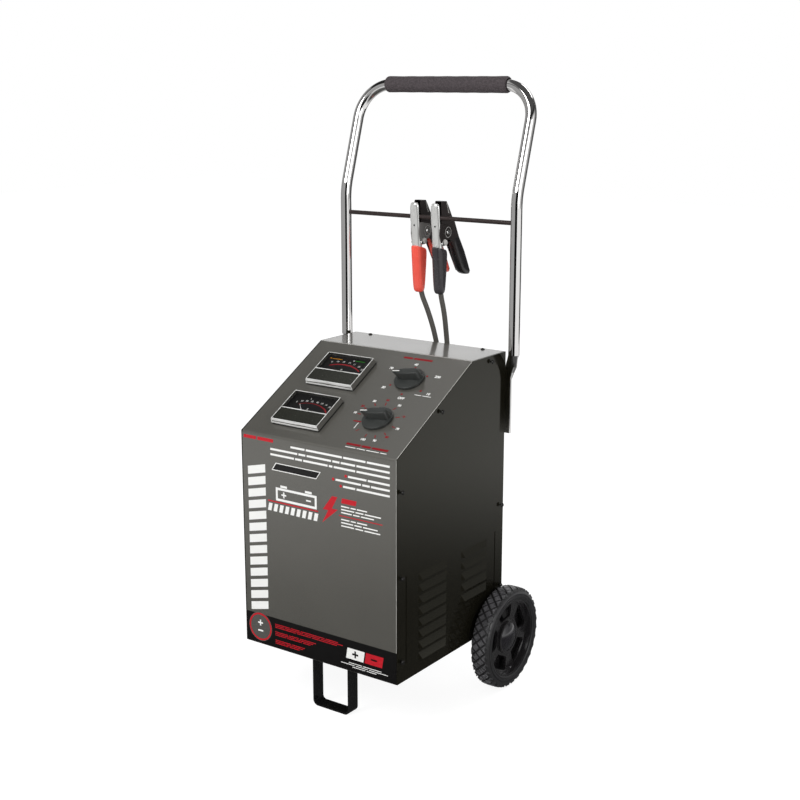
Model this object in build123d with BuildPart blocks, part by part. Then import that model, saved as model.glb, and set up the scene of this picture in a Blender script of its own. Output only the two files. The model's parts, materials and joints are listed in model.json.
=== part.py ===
from build123d import *
import os
from math import atan2, cos, hypot, pi, radians, sin, sqrt, tan

# A wheeled battery charger for the garage, built as separate pieces in one frame.
# +X is to the user's right when they face the control panel, -Y is towards the user, +Z is up.
# The origin is on the floor, below the middle of the charger. Lengths are in millimetres.

# ---- Case: folded sheet-metal cover, two side panels, rear panel and base tray ----
case_width = 318.0
case_depth = 316.0
case_height = 490.0
front_height = 372.0
slope_run = 214.0
ground_gap = 100.0
sheet = 1.2
base_sheet = 1.5
flange = 17.0
fold_radius = 2.0
panel_gap = 0.3

# ---- Louvres and stiffening ribs of the side panels ----
louvre_pitch = 19.5
louvre_height = 12.0
louvre_depth = 4.0
louvre_top = 171.0
louvre_end = 7.0
front_bank = (58.7, 139.8)
rear_bank = (184.0, 264.0)
front_louvre_count = 8
rear_louvre_count = 5
rib_from_edge = 26.0
rib_low = 28.0
rib_high = 176.0
rib_width = 3.0
rib_proud = 0.8

# ---- Fasteners ----
screw_head = 8.0
screw_head_height = 2.4
screw_shank = 4.0
screw_length = 8.0
screw_hole = 4.3
screw_inset = 9.5
bolt_shank = 6.0
bolt_hole = 6.4
bolt_head = 11.0
bolt_head_height = 4.0

# ---- Wheels and axle ----
wheel_diameter = 178.0
tyre_width = 35.0
rim_diameter = 136.0
wheel_gap = 6.0
axle_diameter = 10.0
axle_clearance = 0.08
axle_from_back = 25.5
bracket_wall = 3.0
bracket_from_side = 14.0
hub_boss = 32.0
cap_diameter = 50.0
spoke_count = 5

# ---- Front foot ----
foot_width = 77.0
foot_strap = 24.0
foot_wall = 3.0
foot_from_front = 30.4
foot_bend = 10.0
foot_tab = 22.0

# ---- Handle ----
tube_diameter = 19.0
tube_wall = 1.2
leg_spacing = 353.2
leg_from_front = 313.0
joggle_top = 486.0
joggle_neck = 464.0
joggle_middle = 454.0
joggle_bottom = 443.0
foot_end = 348.0
flat_width = 28.0
flat_thickness = 5.0
flat_spacing = 313.0
neck_width = 22.0
neck_thickness = 8.4
neck_step = 9.1
middle_width = 25.0
middle_thickness = 7.0
middle_step = 15.0
handle_bolt_low = 16.0
handle_bolt_high = 74.0
bolt_inset = 8.0
lean_start = 748.0
grip_from_front = 369.3
grip_height = 928.7
lean_radius = 110.0
corner_radius = 60.0
foam_diameter = 28.0
foam_length = 248.0
foam_clearance = 0.6
crossbar_diameter = 7.5
crossbar_height = 706.7

# ---- Meters, knobs and switches on the sloping control panel ----
meter_width = 100.0
meter_length = 77.0
meter_x = -62.0
meter_along = (65.0, 169.0)
meter_base = 2.5
meter_body_width = 86.0
meter_body_length = 62.0
meter_body_depth = 24.0
meter_lens = 11.0
lens_wall = 1.6
dial_thickness = 0.8
needle_length = 34.0
needle_pin = 2.0
needle_clearance = 0.06
needle_rest = 42.0
movement_drop = 14.0
knob_x = 73.0
knob_along = (77.0, 178.0)
knob_skirt = 52.0
knob_top = 38.0
knob_height = 8.6
knob_bar_height = 11.0
knob_bar_width = 15.0
knob_rim = 4.5
knob_gap = 0.6
knob_pointer = 192.0
shaft_diameter = 6.0
shaft_clearance = 0.05
bushing_diameter = 10.0
switch_size = 44.0
switch_depth = 28.0

# ---- Transformer, rectifier and fan ----
core_width = 132.0
core_depth = 84.0
core_height = 112.0
limb = 22.0
winding_gap = 0.5
core_from_front = 150.0
bolt_spacing_x = 116.0
bolt_spacing_y = 68.0
sink_width = 34.0
sink_depth = 110.0
sink_height = 90.0
sink_fins = 7
fin_wall = 2.0
diode_diameter = 13.0
fan_diameter = 104.0
fan_x = 62.0
fan_height = 232.0
fan_blades = 5
motor_size = 44.0
motor_length = 30.0
motor_shaft = 5.0
bridge_overlap = 14.0
bridge_width = 24.0
vane_chord = 26.0
vane_wall = 1.6
fan_hub_diameter = 26.0
vent_rows = 9
vent_pitch = 12.0
vent_slot = 5.0

# ---- Battery leads: two cords that leave the rear panel and end in the clamps ----
lead_diameter = 9.0
gland_height = 60.0
gland_from_side = {"red": 47.0, "black": 19.0}
gland_flange = 20.0
gland_body = 14.0
gland_tail = 15.0
mains_from_side = 41.0
mains_bore = 8.5
coil_radius = 50.0
coil_turns = 2
coil_x = -62.0
coil_from_front = 438.0
tie_width = 12.0
tie_wall = 1.4

# ---- Battery clamps, hung on the crossbar ----
clamp_x = {"red": -24.0, "black": 19.0}
clamp_width = 18.0
clamp_sheet = 1.5
clamp_play = 0.3
pivot_back = 22.0
pivot_drop = 26.0
pivot_pin = 5.0
pivot_head = 8.0
ear_radius = 13.0
grip_wall = 1.3

# ---- Places worked out from the sizes above ----
slope_angle = atan2(case_height - front_height, slope_run)
slope_length = hypot(case_height - front_height, slope_run)
axle_from_front = case_depth - axle_from_back
overall_depth = max(grip_from_front + foam_diameter / 2, axle_from_front + wheel_diameter / 2)
front_y = -overall_depth / 2
back_y = front_y + case_depth
case_bottom = ground_gap
case_top = case_bottom + case_height
fold_z = case_bottom + front_height
half_width = case_width / 2
bracket_inside = half_width - bracket_from_side
gland_x = {colour: inset - half_width for colour, inset in gland_from_side.items()}
mains_gland_x = half_width - mains_from_side
cover_half = half_width - sheet
axle_y = front_y + axle_from_front
axle_z = wheel_diameter / 2
bar_y = front_y + leg_from_front
bar_z = case_bottom + crossbar_height
control_panel = Plane(
    origin=(0, front_y, fold_z),
    x_dir=(1, 0, 0),
    z_dir=(0, -sin(slope_angle), cos(slope_angle)),
)

os.makedirs("parts", exist_ok=True)


def place(from_front, above_case_bottom):
    """A point of the side view, as (y, z)."""
    return (front_y + from_front, case_bottom + above_case_bottom)


def save(part, label):
    """Name a finished piece and write it as a STEP file of its own."""
    part.label = label
    export_step(part, f"parts/{label}.step")


def case_outline(inset, overrun=0.0):
    """Side view of the case, moved in by inset at the front, slope and top.

    overrun stretches it past the back and the bottom, which are open in the cover.
    """
    lift = inset / cos(slope_angle)
    fold = fold_z + inset * tan(slope_angle) - lift
    top = case_top - inset
    top_y = front_y + (top - fold_z + lift) / tan(slope_angle)
    rear = back_y + overrun
    floor = case_bottom - overrun
    return [(front_y + inset, floor), (front_y + inset, fold), (top_y, top), (rear, top), (rear, floor)]


def along_slope(distance, inset=0.0):
    """The (y, z) point that lies distance up the control panel, and inset below it."""
    y = front_y + distance * cos(slope_angle) + inset * sin(slope_angle)
    z = fold_z + distance * sin(slope_angle) - inset * cos(slope_angle)
    return (y, z)


# ---- Screw seats: (y, z) on each side panel, (x, z) on the rear panel, (x, y) on the top ----
front_screws = [place(screw_inset, height) for height in (37, 177, 318)]
slope_screws = [along_slope(slope_length * 0.53, screw_inset + 2)]
top_side_screws = [place(268, case_height - screw_inset)]
back_screws = [place(case_depth - screw_inset, height) for height in (74, 221)]
cover_side_screws = front_screws + slope_screws + top_side_screws
side_screws = cover_side_screws + back_screws
top_screws = [(x, back_y - screw_inset) for x in (-119, 119)]
rear_screws = [(x, case_bottom + 8) for x in (-100, 0, 100)]


def bores(plane, points, diameter, depth):
    """Cylinders through the given points of a plane, to be cut from a sheet."""
    with BuildPart(mode=Mode.PRIVATE) as drill:
        with BuildSketch(plane):
            with Locations(*points):
                Circle(diameter / 2)
        extrude(amount=depth, both=True)
    return drill.part


# ---- Front cover: front, slope and top in one folded sheet, with side flanges ----
with BuildPart() as front_cover:
    with BuildSketch(Plane.YZ.offset(-cover_half)):
        with BuildLine():
            Polyline(*case_outline(0), close=True)
        make_face()
    extrude(amount=2 * cover_half)
    folds = [edge for edge in front_cover.edges().filter_by(Axis.X) if edge.center().Z > case_bottom + 1]
    folds = [edge for edge in folds if edge.center().Y < back_y - 1]
    fillet(folds, 3 * fold_radius)
    side_faces = front_cover.faces().filter_by(Axis.X)
    side_edges = side_faces[0].edges() + side_faces[1].edges()
    side_edges = [edge for edge in side_edges if edge.center().Z > case_bottom + 1]
    side_edges = [edge for edge in side_edges if edge.center().Y < back_y - 1]
    fillet(side_edges, fold_radius)
    with BuildSketch(Plane.YZ.offset(-cover_half + sheet)):
        with BuildLine():
            Polyline(*case_outline(sheet, overrun=1), close=True)
        make_face()
    extrude(amount=2 * (cover_half - sheet), mode=Mode.SUBTRACT)
    with BuildSketch(Plane.YZ.offset(-case_width)):
        with BuildLine():
            Polyline(*case_outline(flange, overrun=1), close=True)
        make_face()
    extrude(amount=2 * case_width, mode=Mode.SUBTRACT)
    with BuildSketch(Plane.XZ.offset(-back_y)):
        with Locations((0, (case_bottom + case_top) / 2 - sheet)):
            Rectangle(2 * cover_half, case_height)
    extrude(amount=sheet + panel_gap, mode=Mode.SUBTRACT)
    with BuildSketch(control_panel):
        with Locations(*[(meter_x, along) for along in meter_along]):
            Rectangle(meter_body_width + 2 * panel_gap, meter_body_length + 2 * panel_gap)
        with Locations(*[(knob_x, along) for along in knob_along]):
            Circle(bushing_diameter / 2 + panel_gap)
    extrude(amount=2 * flange, both=True, mode=Mode.SUBTRACT)
    add(bores(Plane.YZ, cover_side_screws, screw_hole, case_width), mode=Mode.SUBTRACT)
    add(bores(Plane.XY.offset(case_top), top_screws, screw_hole, flange), mode=Mode.SUBTRACT)
save(front_cover.part, "front_cover")


# ---- Side panels: flat sheets with louvres, ribs and screw holes ----
louvre_banks = [(front_bank, front_louvre_count), (rear_bank, rear_louvre_count)]


def louvre_wedge(side, bank, low):
    """A louvre's outer form: it leans out from its top edge to its lip, with slanted ends."""
    inner = side * cover_half
    outer = side * half_width
    tip = side * (half_width + louvre_depth)
    start, end = (front_y + edge for edge in bank)
    top = low + louvre_height
    rise = sheet * louvre_height / louvre_depth
    with BuildPart(mode=Mode.PRIVATE) as wedge:
        with BuildSketch(Plane.XZ.offset(-end)):
            with BuildLine():
                Polyline((inner, low), (tip, low), (outer, top), (inner, top + rise), close=True)
            make_face()
        extrude(amount=end - start)
        with BuildSketch(Plane.XY.offset(low)):
            with BuildLine():
                Polyline((inner, start), (outer, start), (tip, start + louvre_end),
                         (tip, end - louvre_end), (outer, end), (inner, end), close=True)
            make_face()
        extrude(amount=louvre_height + rise, mode=Mode.INTERSECT)
    return wedge.part


def make_side_panel(side):
    """One side panel; side is -1 for the left and +1 for the right."""
    inner = side * cover_half
    outer = side * half_width
    wedges = [louvre_wedge(side, bank, case_bottom + louvre_top - louvre_height - row * louvre_pitch)
              for bank, count in louvre_banks for row in range(count)]
    wall = sheet * hypot(louvre_height, louvre_depth) / louvre_height
    with BuildPart() as panel:
        with BuildSketch(Plane.YZ.offset(min(inner, outer))):
            with BuildLine():
                Polyline(*case_outline(panel_gap), close=True)
            make_face()
        extrude(amount=sheet)
        add(wedges)
        add([Pos(-side * wall, 0, 0) * wedge for wedge in wedges], mode=Mode.SUBTRACT)
        for rib in (rib_from_edge, case_depth - rib_from_edge + 2):
            with BuildSketch(Plane.YZ.offset(outer)):
                with Locations(place(rib, (rib_low + rib_high) / 2)):
                    SlotOverall(rib_high - rib_low, rib_width, rotation=90)
            extrude(amount=side * rib_proud)
        add(bores(Plane.YZ, side_screws, screw_hole, case_width), mode=Mode.SUBTRACT)
    return panel.part


save(make_side_panel(-1), "side_panel_left")
save(make_side_panel(1), "side_panel_right")


# ---- Rear panel: a sheet with flanges, the fan's vent slots and the cord holes ----
rear_half = cover_half - panel_gap
rear_top = case_top - sheet - panel_gap
fan_y = back_y - 34
vent_points = [(fan_x, case_bottom + fan_height + (row - (vent_rows - 1) / 2) * vent_pitch)
               for row in range(vent_rows)]
gland_points = [(x, case_bottom + gland_height) for x in gland_x.values()]
mains_point = (mains_gland_x, case_bottom + gland_height)
handle_bolts_z = [case_bottom + foot_end + rise for rise in (handle_bolt_low, handle_bolt_high)]
handle_bolt_x = flat_spacing / 2 - bolt_inset
handle_bolt_points = [(side * handle_bolt_x, z) for side in (-1, 1) for z in handle_bolts_z]
with BuildPart() as rear_panel:
    with BuildSketch(Plane.XZ.offset(-back_y)):
        with Locations((0, (case_bottom + rear_top) / 2)):
            Rectangle(2 * rear_half, rear_top - case_bottom)
    extrude(amount=flange)
    with BuildSketch(Plane.XZ.offset(-back_y + sheet)):
        with Locations((0, (case_bottom + rear_top) / 2 - sheet)):
            Rectangle(2 * (rear_half - sheet), rear_top - case_bottom)
    extrude(amount=flange, mode=Mode.SUBTRACT)
    with BuildSketch(Plane.XZ.offset(-back_y + sheet)):
        with Locations(*[(side * rear_half, rear_top) for side in (-1, 1)]):
            Rectangle(4 * flange, 2 * flange + 4)
        with Locations((0, case_bottom)):
            Rectangle(2 * case_width, 2 * base_sheet + 2 * panel_gap)
    extrude(amount=flange, mode=Mode.SUBTRACT)
    with BuildSketch(Plane.XZ.offset(-back_y)):
        with Locations(*vent_points):
            SlotOverall(fan_diameter, vent_slot)
        with Locations(*gland_points):
            Circle(gland_body / 2)
        with Locations(mains_point):
            Circle(gland_body / 2)
        with Locations(*rear_screws):
            Circle(screw_hole / 2)
        with Locations(*handle_bolt_points):
            Circle(bolt_hole / 2)
    extrude(amount=2 * sheet, both=True, mode=Mode.SUBTRACT)
    add(bores(Plane.YZ, back_screws, screw_hole, case_width), mode=Mode.SUBTRACT)
    add(bores(Plane.XY.offset(case_top), top_screws, screw_hole, flange / 2), mode=Mode.SUBTRACT)
save(rear_panel.part, "rear_panel")


# ---- Base tray: floor of the case, with a lip along the front and back ----
tray_half = cover_half - sheet - panel_gap
tray_front = front_y + sheet + panel_gap
tray_back = back_y - sheet - panel_gap
core_y = front_y + core_from_front
core_bolts = [(x * bolt_spacing_x / 2, core_y + y * bolt_spacing_y / 2) for x in (-1, 1) for y in (-1, 1)]
foot_bolts = [(side * (foot_width / 2 - foot_wall - foot_tab / 2), front_y + foot_from_front + foot_strap / 2)
              for side in (-1, 1)]
bracket_tab = 28.0
bracket_bolts = [(side * (bracket_inside - bracket_tab / 2), axle_y + end * 11.5)
                 for side in (-1, 1) for end in (-1, 1)]
with BuildPart() as base_tray:
    with BuildSketch(Plane.YZ.offset(-tray_half)):
        with BuildLine():
            Polyline((tray_front, case_bottom + flange), (tray_front, case_bottom), (tray_back, case_bottom),
                     (tray_back, case_bottom + flange), (tray_back - base_sheet, case_bottom + flange),
                     (tray_back - base_sheet, case_bottom + base_sheet),
                     (tray_front + base_sheet, case_bottom + base_sheet),
                     (tray_front + base_sheet, case_bottom + flange), close=True)
        make_face()
    extrude(amount=2 * tray_half)
    with BuildSketch(Plane.XY.offset(case_bottom)):
        with Locations(*(core_bolts + foot_bolts + bracket_bolts)):
            Circle(bolt_hole / 2)
    extrude(amount=2 * base_sheet, both=True, mode=Mode.SUBTRACT)
    with BuildSketch(Plane.XZ.offset(-tray_back)):
        with Locations(*rear_screws):
            Circle(screw_hole / 2)
    extrude(amount=2 * base_sheet, both=True, mode=Mode.SUBTRACT)
save(base_tray.part, "base_tray")


# ---- Case screws: one node of identical pan-head screws ----
def screw_seats():
    """The plane of each case screw, on the face that its head sits on, facing outwards."""
    seats = []
    for side in (-1, 1):
        seats += [Plane(origin=(side * half_width, y, z), z_dir=(side, 0, 0)) for y, z in side_screws]
    seats += [Plane(origin=(x, y, case_top), z_dir=(0, 0, 1)) for x, y in top_screws]
    seats += [Plane(origin=(x, back_y, z), z_dir=(0, 1, 0)) for x, z in rear_screws]
    return seats


with BuildPart() as case_screws:
    for seat in screw_seats():
        with BuildSketch(seat):
            Circle(screw_head / 2)
        extrude(amount=screw_head_height, taper=20)
        with BuildSketch(seat):
            Circle(screw_shank / 2)
        extrude(amount=-screw_length)
save(case_screws.part, "case_screws")


# ---- Axle, its two brackets and the spacers beside the wheels ----
wheel_inside = half_width + wheel_gap
wheel_outside = wheel_inside + tyre_width
boss_inside = wheel_inside - 4
axle_end = wheel_outside - 10
bracket_low = axle_z - 14
hub_bore = axle_diameter + 2 * axle_clearance
with BuildPart() as axle:
    with BuildSketch(Plane.YZ.offset(-axle_end)):
        with Locations((axle_y, axle_z)):
            Circle(axle_diameter / 2)
    extrude(amount=2 * axle_end)
    chamfer(axle.edges().filter_by(GeomType.CIRCLE), 1)
save(axle.part, "axle")


with BuildPart() as axle_brackets:
    for side in (-1, 1):
        hanger_x = side * (bracket_inside + bracket_wall / 2)
        tab_x = side * (bracket_inside + bracket_wall - (bracket_tab + bracket_wall) / 2)
        with BuildSketch(Plane.XY.offset(case_bottom)):
            with Locations((tab_x, axle_y)):
                Rectangle(bracket_tab + bracket_wall, 36)
        extrude(amount=-bracket_wall)
        with BuildSketch(Plane.XY.offset(case_bottom)):
            with Locations((hanger_x, axle_y)):
                Rectangle(bracket_wall, 36)
        extrude(amount=bracket_low - case_bottom)
    with BuildSketch(Plane.YZ):
        with Locations((axle_y, axle_z)):
            Circle(axle_diameter / 2 + axle_clearance)
    extrude(amount=case_width, both=True, mode=Mode.SUBTRACT)
    with BuildSketch(Plane.XY.offset(case_bottom)):
        with Locations(*bracket_bolts):
            Circle(bolt_hole / 2)
    extrude(amount=-2 * bracket_wall, mode=Mode.SUBTRACT)
save(axle_brackets.part, "axle_brackets")


bracket_outside = bracket_inside + bracket_wall
spacer_length = boss_inside - bracket_outside - 0.3
push_nut = 3.0
with BuildPart() as axle_spacers:
    for side in (-1, 1):
        with BuildSketch(Plane.YZ.offset(side * bracket_outside)):
            with Locations((axle_y, axle_z)):
                Circle(axle_diameter / 2 + 4)
                Circle(axle_diameter / 2, mode=Mode.SUBTRACT)
        extrude(amount=side * spacer_length)
        with BuildSketch(Plane.YZ.offset(side * (axle_end - 1 - push_nut))):
            with Locations((axle_y, axle_z)):
                Circle(axle_diameter / 2 + 4)
                Circle(axle_diameter / 2, mode=Mode.SUBTRACT)
        extrude(amount=side * push_nut)
save(axle_spacers.part, "axle_spacers")


# ---- Wheels: rubber tyre, plastic hub with five windows, and a domed cap ----
def wheel_plane(side):
    """Radius along x and distance outwards from the charger's middle along y, for revolving."""
    return Plane(origin=(0, axle_y, axle_z), x_dir=(0, 0, 1), z_dir=(0, side, 0))


def wheel_axis():
    return Axis((0, axle_y, axle_z), (1, 0, 0))


boss_outside = axle_end - 1 - push_nut - 0.3
web_outside = wheel_outside - 13
web_wall = 5.0
back_inside = wheel_inside + 4
back_wall = 3.0
cap_seat = wheel_outside - 9


def make_tyre(side):
    """Rubber tyre with rounded shoulders and a raised sidewall ring."""
    rim = rim_diameter / 2
    tread = wheel_diameter / 2
    with BuildPart() as tyre:
        with BuildSketch(wheel_plane(side)):
            with BuildLine():
                Polyline((rim, wheel_inside + 2), (rim + 3, wheel_inside), (tread - 9, wheel_inside),
                         (tread - 3, wheel_inside + 2), (tread, wheel_inside + 8),
                         (tread, wheel_outside - 8), (tread - 3, wheel_outside - 2),
                         (tread - 9, wheel_outside), (rim + 3, wheel_outside),
                         (rim, wheel_outside - 2), close=True)
            make_face()
        revolve(axis=wheel_axis())
    return tyre.part


def make_hub(side):
    """Dished plastic hub: barrel, spoked web, closed back, bearing boss and cap seat."""
    rim = rim_diameter / 2
    bore = hub_bore / 2
    boss = hub_boss / 2
    seat = cap_diameter / 2
    wall = 3.0
    with BuildPart() as hub:
        with BuildSketch(wheel_plane(side)):
            with BuildLine():
                Polyline((bore, boss_inside), (boss, boss_inside), (boss, web_outside - web_wall),
                         (rim - wall, web_outside - web_wall), (rim - wall, wheel_inside + 3),
                         (rim, wheel_inside + 3), (rim, wheel_outside - 3),
                         (rim - wall, wheel_outside - 3), (rim - wall - 2, web_outside),
                         (seat + 4, web_outside), (seat + 4, cap_seat), (seat, cap_seat),
                         (seat, web_outside - 1), (boss, web_outside - 1), (boss, boss_outside),
                         (bore, boss_outside), close=True)
            make_face()
        revolve(axis=wheel_axis())
        with BuildSketch(wheel_plane(side)):
            with BuildLine():
                Polyline((boss - 1, back_inside), (rim - wall + 1, back_inside),
                         (rim - wall + 1, back_inside + back_wall), (boss - 1, back_inside + back_wall),
                         close=True)
            make_face()
        revolve(axis=wheel_axis())
        window_in = seat + 9
        window_out = rim - wall - 7
        turn = 360 / spoke_count
        window_turn = turn * 0.38
        window_half = radians(turn * 0.36)
        with BuildSketch(Plane.YZ.offset(side * (web_outside - web_wall - 1))):
            with Locations((axle_y, axle_z)):
                with PolarLocations((window_in + window_out) / 2, spoke_count, start_angle=window_turn):
                    Trapezoid(2 * window_out * sin(window_half), window_out - window_in, 67, rotation=90)
            fillet(vertices(), 4)
        extrude(amount=side * (web_wall + 2), mode=Mode.SUBTRACT)
    return hub.part


def make_hub_cap(side):
    """Domed cap that snaps into the hub's seat and hides the axle's end."""
    seat = cap_diameter / 2 - 0.05
    low = web_outside - 1
    high = wheel_outside - 1.5
    dome = (seat**2 + (high - cap_seat) ** 2) / (2 * (high - cap_seat))
    with BuildPart() as cap:
        with BuildSketch(wheel_plane(side)):
            with BuildLine():
                skirt = Polyline((0, low), (seat, low), (seat, cap_seat))
                ThreePointArc(skirt @ 1, (seat / 2, high - dome + sqrt(dome**2 - seat**2 / 4)), (0, high))
                Line((0, high), (0, low))
            make_face()
        revolve(axis=wheel_axis())
        with BuildSketch(wheel_plane(side)):
            with BuildLine():
                Polyline((0, low - 1), (seat - 2, low - 1), (seat - 2, cap_seat - 0.4),
                         (0, cap_seat - 0.4), close=True)
            make_face()
        revolve(axis=wheel_axis(), mode=Mode.SUBTRACT)
    return cap.part


for side, name in ((-1, "left"), (1, "right")):
    save(make_tyre(side), f"tyre_{name}")
    save(make_hub(side), f"hub_{name}")
    save(make_hub_cap(side), f"hub_cap_{name}")


# ---- Front foot: a flat strap bent into a U, with two tabs under the tray ----
with BuildPart() as front_foot:
    half = foot_width / 2
    with BuildSketch(Plane.XZ.offset(-(front_y + foot_from_front + foot_strap))):
        with BuildLine():
            outer = Polyline((half - foot_wall - foot_tab, case_bottom), (half, case_bottom), (half, 0),
                             (-half, 0), (-half, case_bottom), (-half + foot_wall + foot_tab, case_bottom))
            Polyline(outer @ 1, (-half + foot_wall + foot_tab, case_bottom - foot_wall),
                     (-half + foot_wall, case_bottom - foot_wall), (-half + foot_wall, foot_wall),
                     (half - foot_wall, foot_wall), (half - foot_wall, case_bottom - foot_wall),
                     (half - foot_wall - foot_tab, case_bottom - foot_wall), outer @ 0)
        make_face()
        low = vertices().group_by(Axis.Y)
        fillet(low[0], foot_bend)
        fillet(vertices().group_by(Axis.Y)[1], foot_bend - foot_wall)
    extrude(amount=foot_strap)
    with BuildSketch(Plane.XY.offset(case_bottom)):
        with Locations(*foot_bolts):
            Circle(bolt_hole / 2)
    extrude(amount=-2 * foot_wall, mode=Mode.SUBTRACT)
save(front_foot.part, "front_foot")


# ---- Handle: one bent tube with joggled, flattened ends, a crossbar and a foam grip ----
leg_x = leg_spacing / 2
grip_y = front_y + grip_from_front
grip_z = case_bottom + grip_height
flat_y = back_y + flat_thickness / 2
flat_x = flat_spacing / 2


def handle_path():
    """Centre line of the round part of the tube, from the left joggle to the right one."""
    with BuildLine(mode=Mode.PRIVATE) as line:
        FilletPolyline(
            (-leg_x, bar_y, case_bottom + joggle_top),
            (-leg_x, bar_y, case_bottom + lean_start),
            (-leg_x, grip_y, grip_z),
            (leg_x, grip_y, grip_z),
            (leg_x, bar_y, case_bottom + lean_start),
            (leg_x, bar_y, case_bottom + joggle_top),
            radius=[lean_radius, corner_radius, corner_radius, lean_radius],
        )
    return line.line


leg_ends = [
    (joggle_top, leg_x, bar_y, tube_diameter, tube_diameter),
    (joggle_neck, leg_x - neck_step, back_y + neck_thickness / 2 + 0.2, neck_width, neck_thickness),
    (joggle_middle, leg_x - middle_step, back_y + middle_thickness / 2 + 0.5, middle_width,
     middle_thickness),
    (joggle_bottom, flat_x, flat_y, flat_width, flat_thickness),
]


def joggle_section(side, height, x, y, width, thickness):
    """One section of the leg's squeezed end: round at the top, a flat slot lower down."""
    with BuildSketch(Plane.XY.offset(case_bottom + height), mode=Mode.PRIVATE) as section:
        with Locations((side * x, y)):
            if width > thickness:
                SlotOverall(width, thickness)
            else:
                Circle(width / 2)
    return section.sketch


with BuildPart() as handle_tube:
    path = handle_path()
    with BuildSketch(Plane(origin=path @ 0, z_dir=path % 0)):
        Circle(tube_diameter / 2)
        Circle(tube_diameter / 2 - tube_wall, mode=Mode.SUBTRACT)
    sweep(path=path)
    for side in (-1, 1):
        for upper, lower in zip(leg_ends, leg_ends[1:]):
            loft([joggle_section(side, *upper).face(), joggle_section(side, *lower).face()])
        with BuildSketch(Plane.XY.offset(case_bottom + joggle_bottom)):
            with Locations((side * flat_x, flat_y)):
                SlotOverall(flat_width, flat_thickness)
        extrude(amount=foot_end - joggle_bottom)
    with BuildSketch(Plane.XZ.offset(-back_y)):
        with Locations(*handle_bolt_points):
            Circle(bolt_hole / 2)
    extrude(amount=-2 * flat_thickness, mode=Mode.SUBTRACT)
    with BuildSketch(Plane.YZ.offset(-leg_x)):
        with Locations((bar_y, bar_z)):
            Circle(crossbar_diameter / 2 + 0.05)
    extrude(amount=2 * leg_x, mode=Mode.SUBTRACT)
save(handle_tube.part, "handle_tube")


with BuildPart() as foam_grip:
    with BuildSketch(Plane.YZ.offset(-foam_length / 2)):
        with Locations((grip_y, grip_z)):
            Circle(foam_diameter / 2)
            Circle(tube_diameter / 2 + foam_clearance, mode=Mode.SUBTRACT)
    extrude(amount=foam_length)
    rims = foam_grip.edges().filter_by(GeomType.CIRCLE).group_by(SortBy.RADIUS)[-1]
    fillet(rims, (foam_diameter - tube_diameter) / 2 - foam_clearance - 0.6)
save(foam_grip.part, "foam_grip")


bar_half = leg_x - tube_diameter / 2 + tube_wall + 3
with BuildPart() as crossbar:
    with BuildSketch(Plane.YZ.offset(-bar_half)):
        with Locations((bar_y, bar_z)):
            Circle(crossbar_diameter / 2)
    extrude(amount=2 * bar_half)
save(crossbar.part, "crossbar")


with BuildPart() as handle_bolts:
    for x, z in handle_bolt_points:
        with BuildSketch(Plane(origin=(x, back_y + flat_thickness, z), z_dir=(0, 1, 0))):
            Circle(bolt_head / 2)
        extrude(amount=bolt_head_height, taper=12)
        with BuildSketch(Plane(origin=(x, back_y + flat_thickness, z), z_dir=(0, 1, 0))):
            Circle(bolt_shank / 2)
        extrude(amount=-(flat_thickness + sheet + 2 * bolt_head_height))
        with BuildSketch(Plane(origin=(x, back_y - sheet, z), z_dir=(0, -1, 0))):
            RegularPolygon(bolt_head / 2, 6)
        extrude(amount=bolt_head_height)
save(handle_bolts.part, "handle_bolts")


# ---- Tray bolts: they hold the transformer, the foot and the axle brackets ----
core_low = case_bottom + base_sheet
core_top = core_low + core_height


def bolt_down(x, y, head_z, nut_z):
    """A vertical bolt with its head on head_z and a nut under nut_z."""
    with BuildPart(mode=Mode.PRIVATE) as bolt:
        with BuildSketch(Plane(origin=(x, y, head_z))):
            RegularPolygon(bolt_head / 2, 6)
        extrude(amount=bolt_head_height)
        with BuildSketch(Plane(origin=(x, y, head_z))):
            Circle(bolt_shank / 2)
        extrude(amount=nut_z - bolt_head_height - 1 - head_z)
        with BuildSketch(Plane(origin=(x, y, nut_z))):
            RegularPolygon(bolt_head / 2, 6)
        extrude(amount=-bolt_head_height)
    return bolt.part


with BuildPart() as tray_bolts:
    for x, y in core_bolts:
        add(bolt_down(x, y, core_top, case_bottom))
    for x, y in foot_bolts:
        add(bolt_down(x, y, core_low, case_bottom - foot_wall))
    for x, y in bracket_bolts:
        add(bolt_down(x, y, core_low, case_bottom - bracket_wall))
save(tray_bolts.part, "tray_bolts")


# ---- Transformer: laminated core with two windings round its middle limb ----
window_wide = (core_width - 4 * limb) / 2
window_high = core_height - 2 * limb
with BuildPart() as transformer_core:
    with BuildSketch(Plane.XZ.offset(-(core_y + core_depth / 2))):
        with Locations((0, core_low + core_height / 2)):
            Rectangle(core_width, core_height)
            with Locations(*[(side * (limb + window_wide / 2), 0) for side in (-1, 1)]):
                Rectangle(window_wide, window_high, mode=Mode.SUBTRACT)
    extrude(amount=core_depth)
    with BuildSketch(Plane.XY.offset(core_low)):
        with Locations(*core_bolts):
            Circle(bolt_hole / 2)
    extrude(amount=core_height, mode=Mode.SUBTRACT)
save(transformer_core.part, "transformer_core")


coil_inner_x = 2 * limb + 2 * winding_gap
coil_inner_y = core_depth + 2 * winding_gap
coil_build = window_wide - 2 * winding_gap
coil_high = (window_high - 3 * winding_gap) / 2
with BuildPart() as transformer_windings:
    for layer in (0, 1):
        low = core_low + limb + winding_gap + layer * (coil_high + winding_gap)
        with BuildSketch(Plane.XY.offset(low)):
            with Locations((0, core_y)):
                RectangleRounded(coil_inner_x + 2 * coil_build, coil_inner_y + 2 * coil_build, coil_build / 2)
                RectangleRounded(coil_inner_x, coil_inner_y, 1, mode=Mode.SUBTRACT)
        extrude(amount=coil_high)
save(transformer_windings.part, "transformer_windings")


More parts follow.
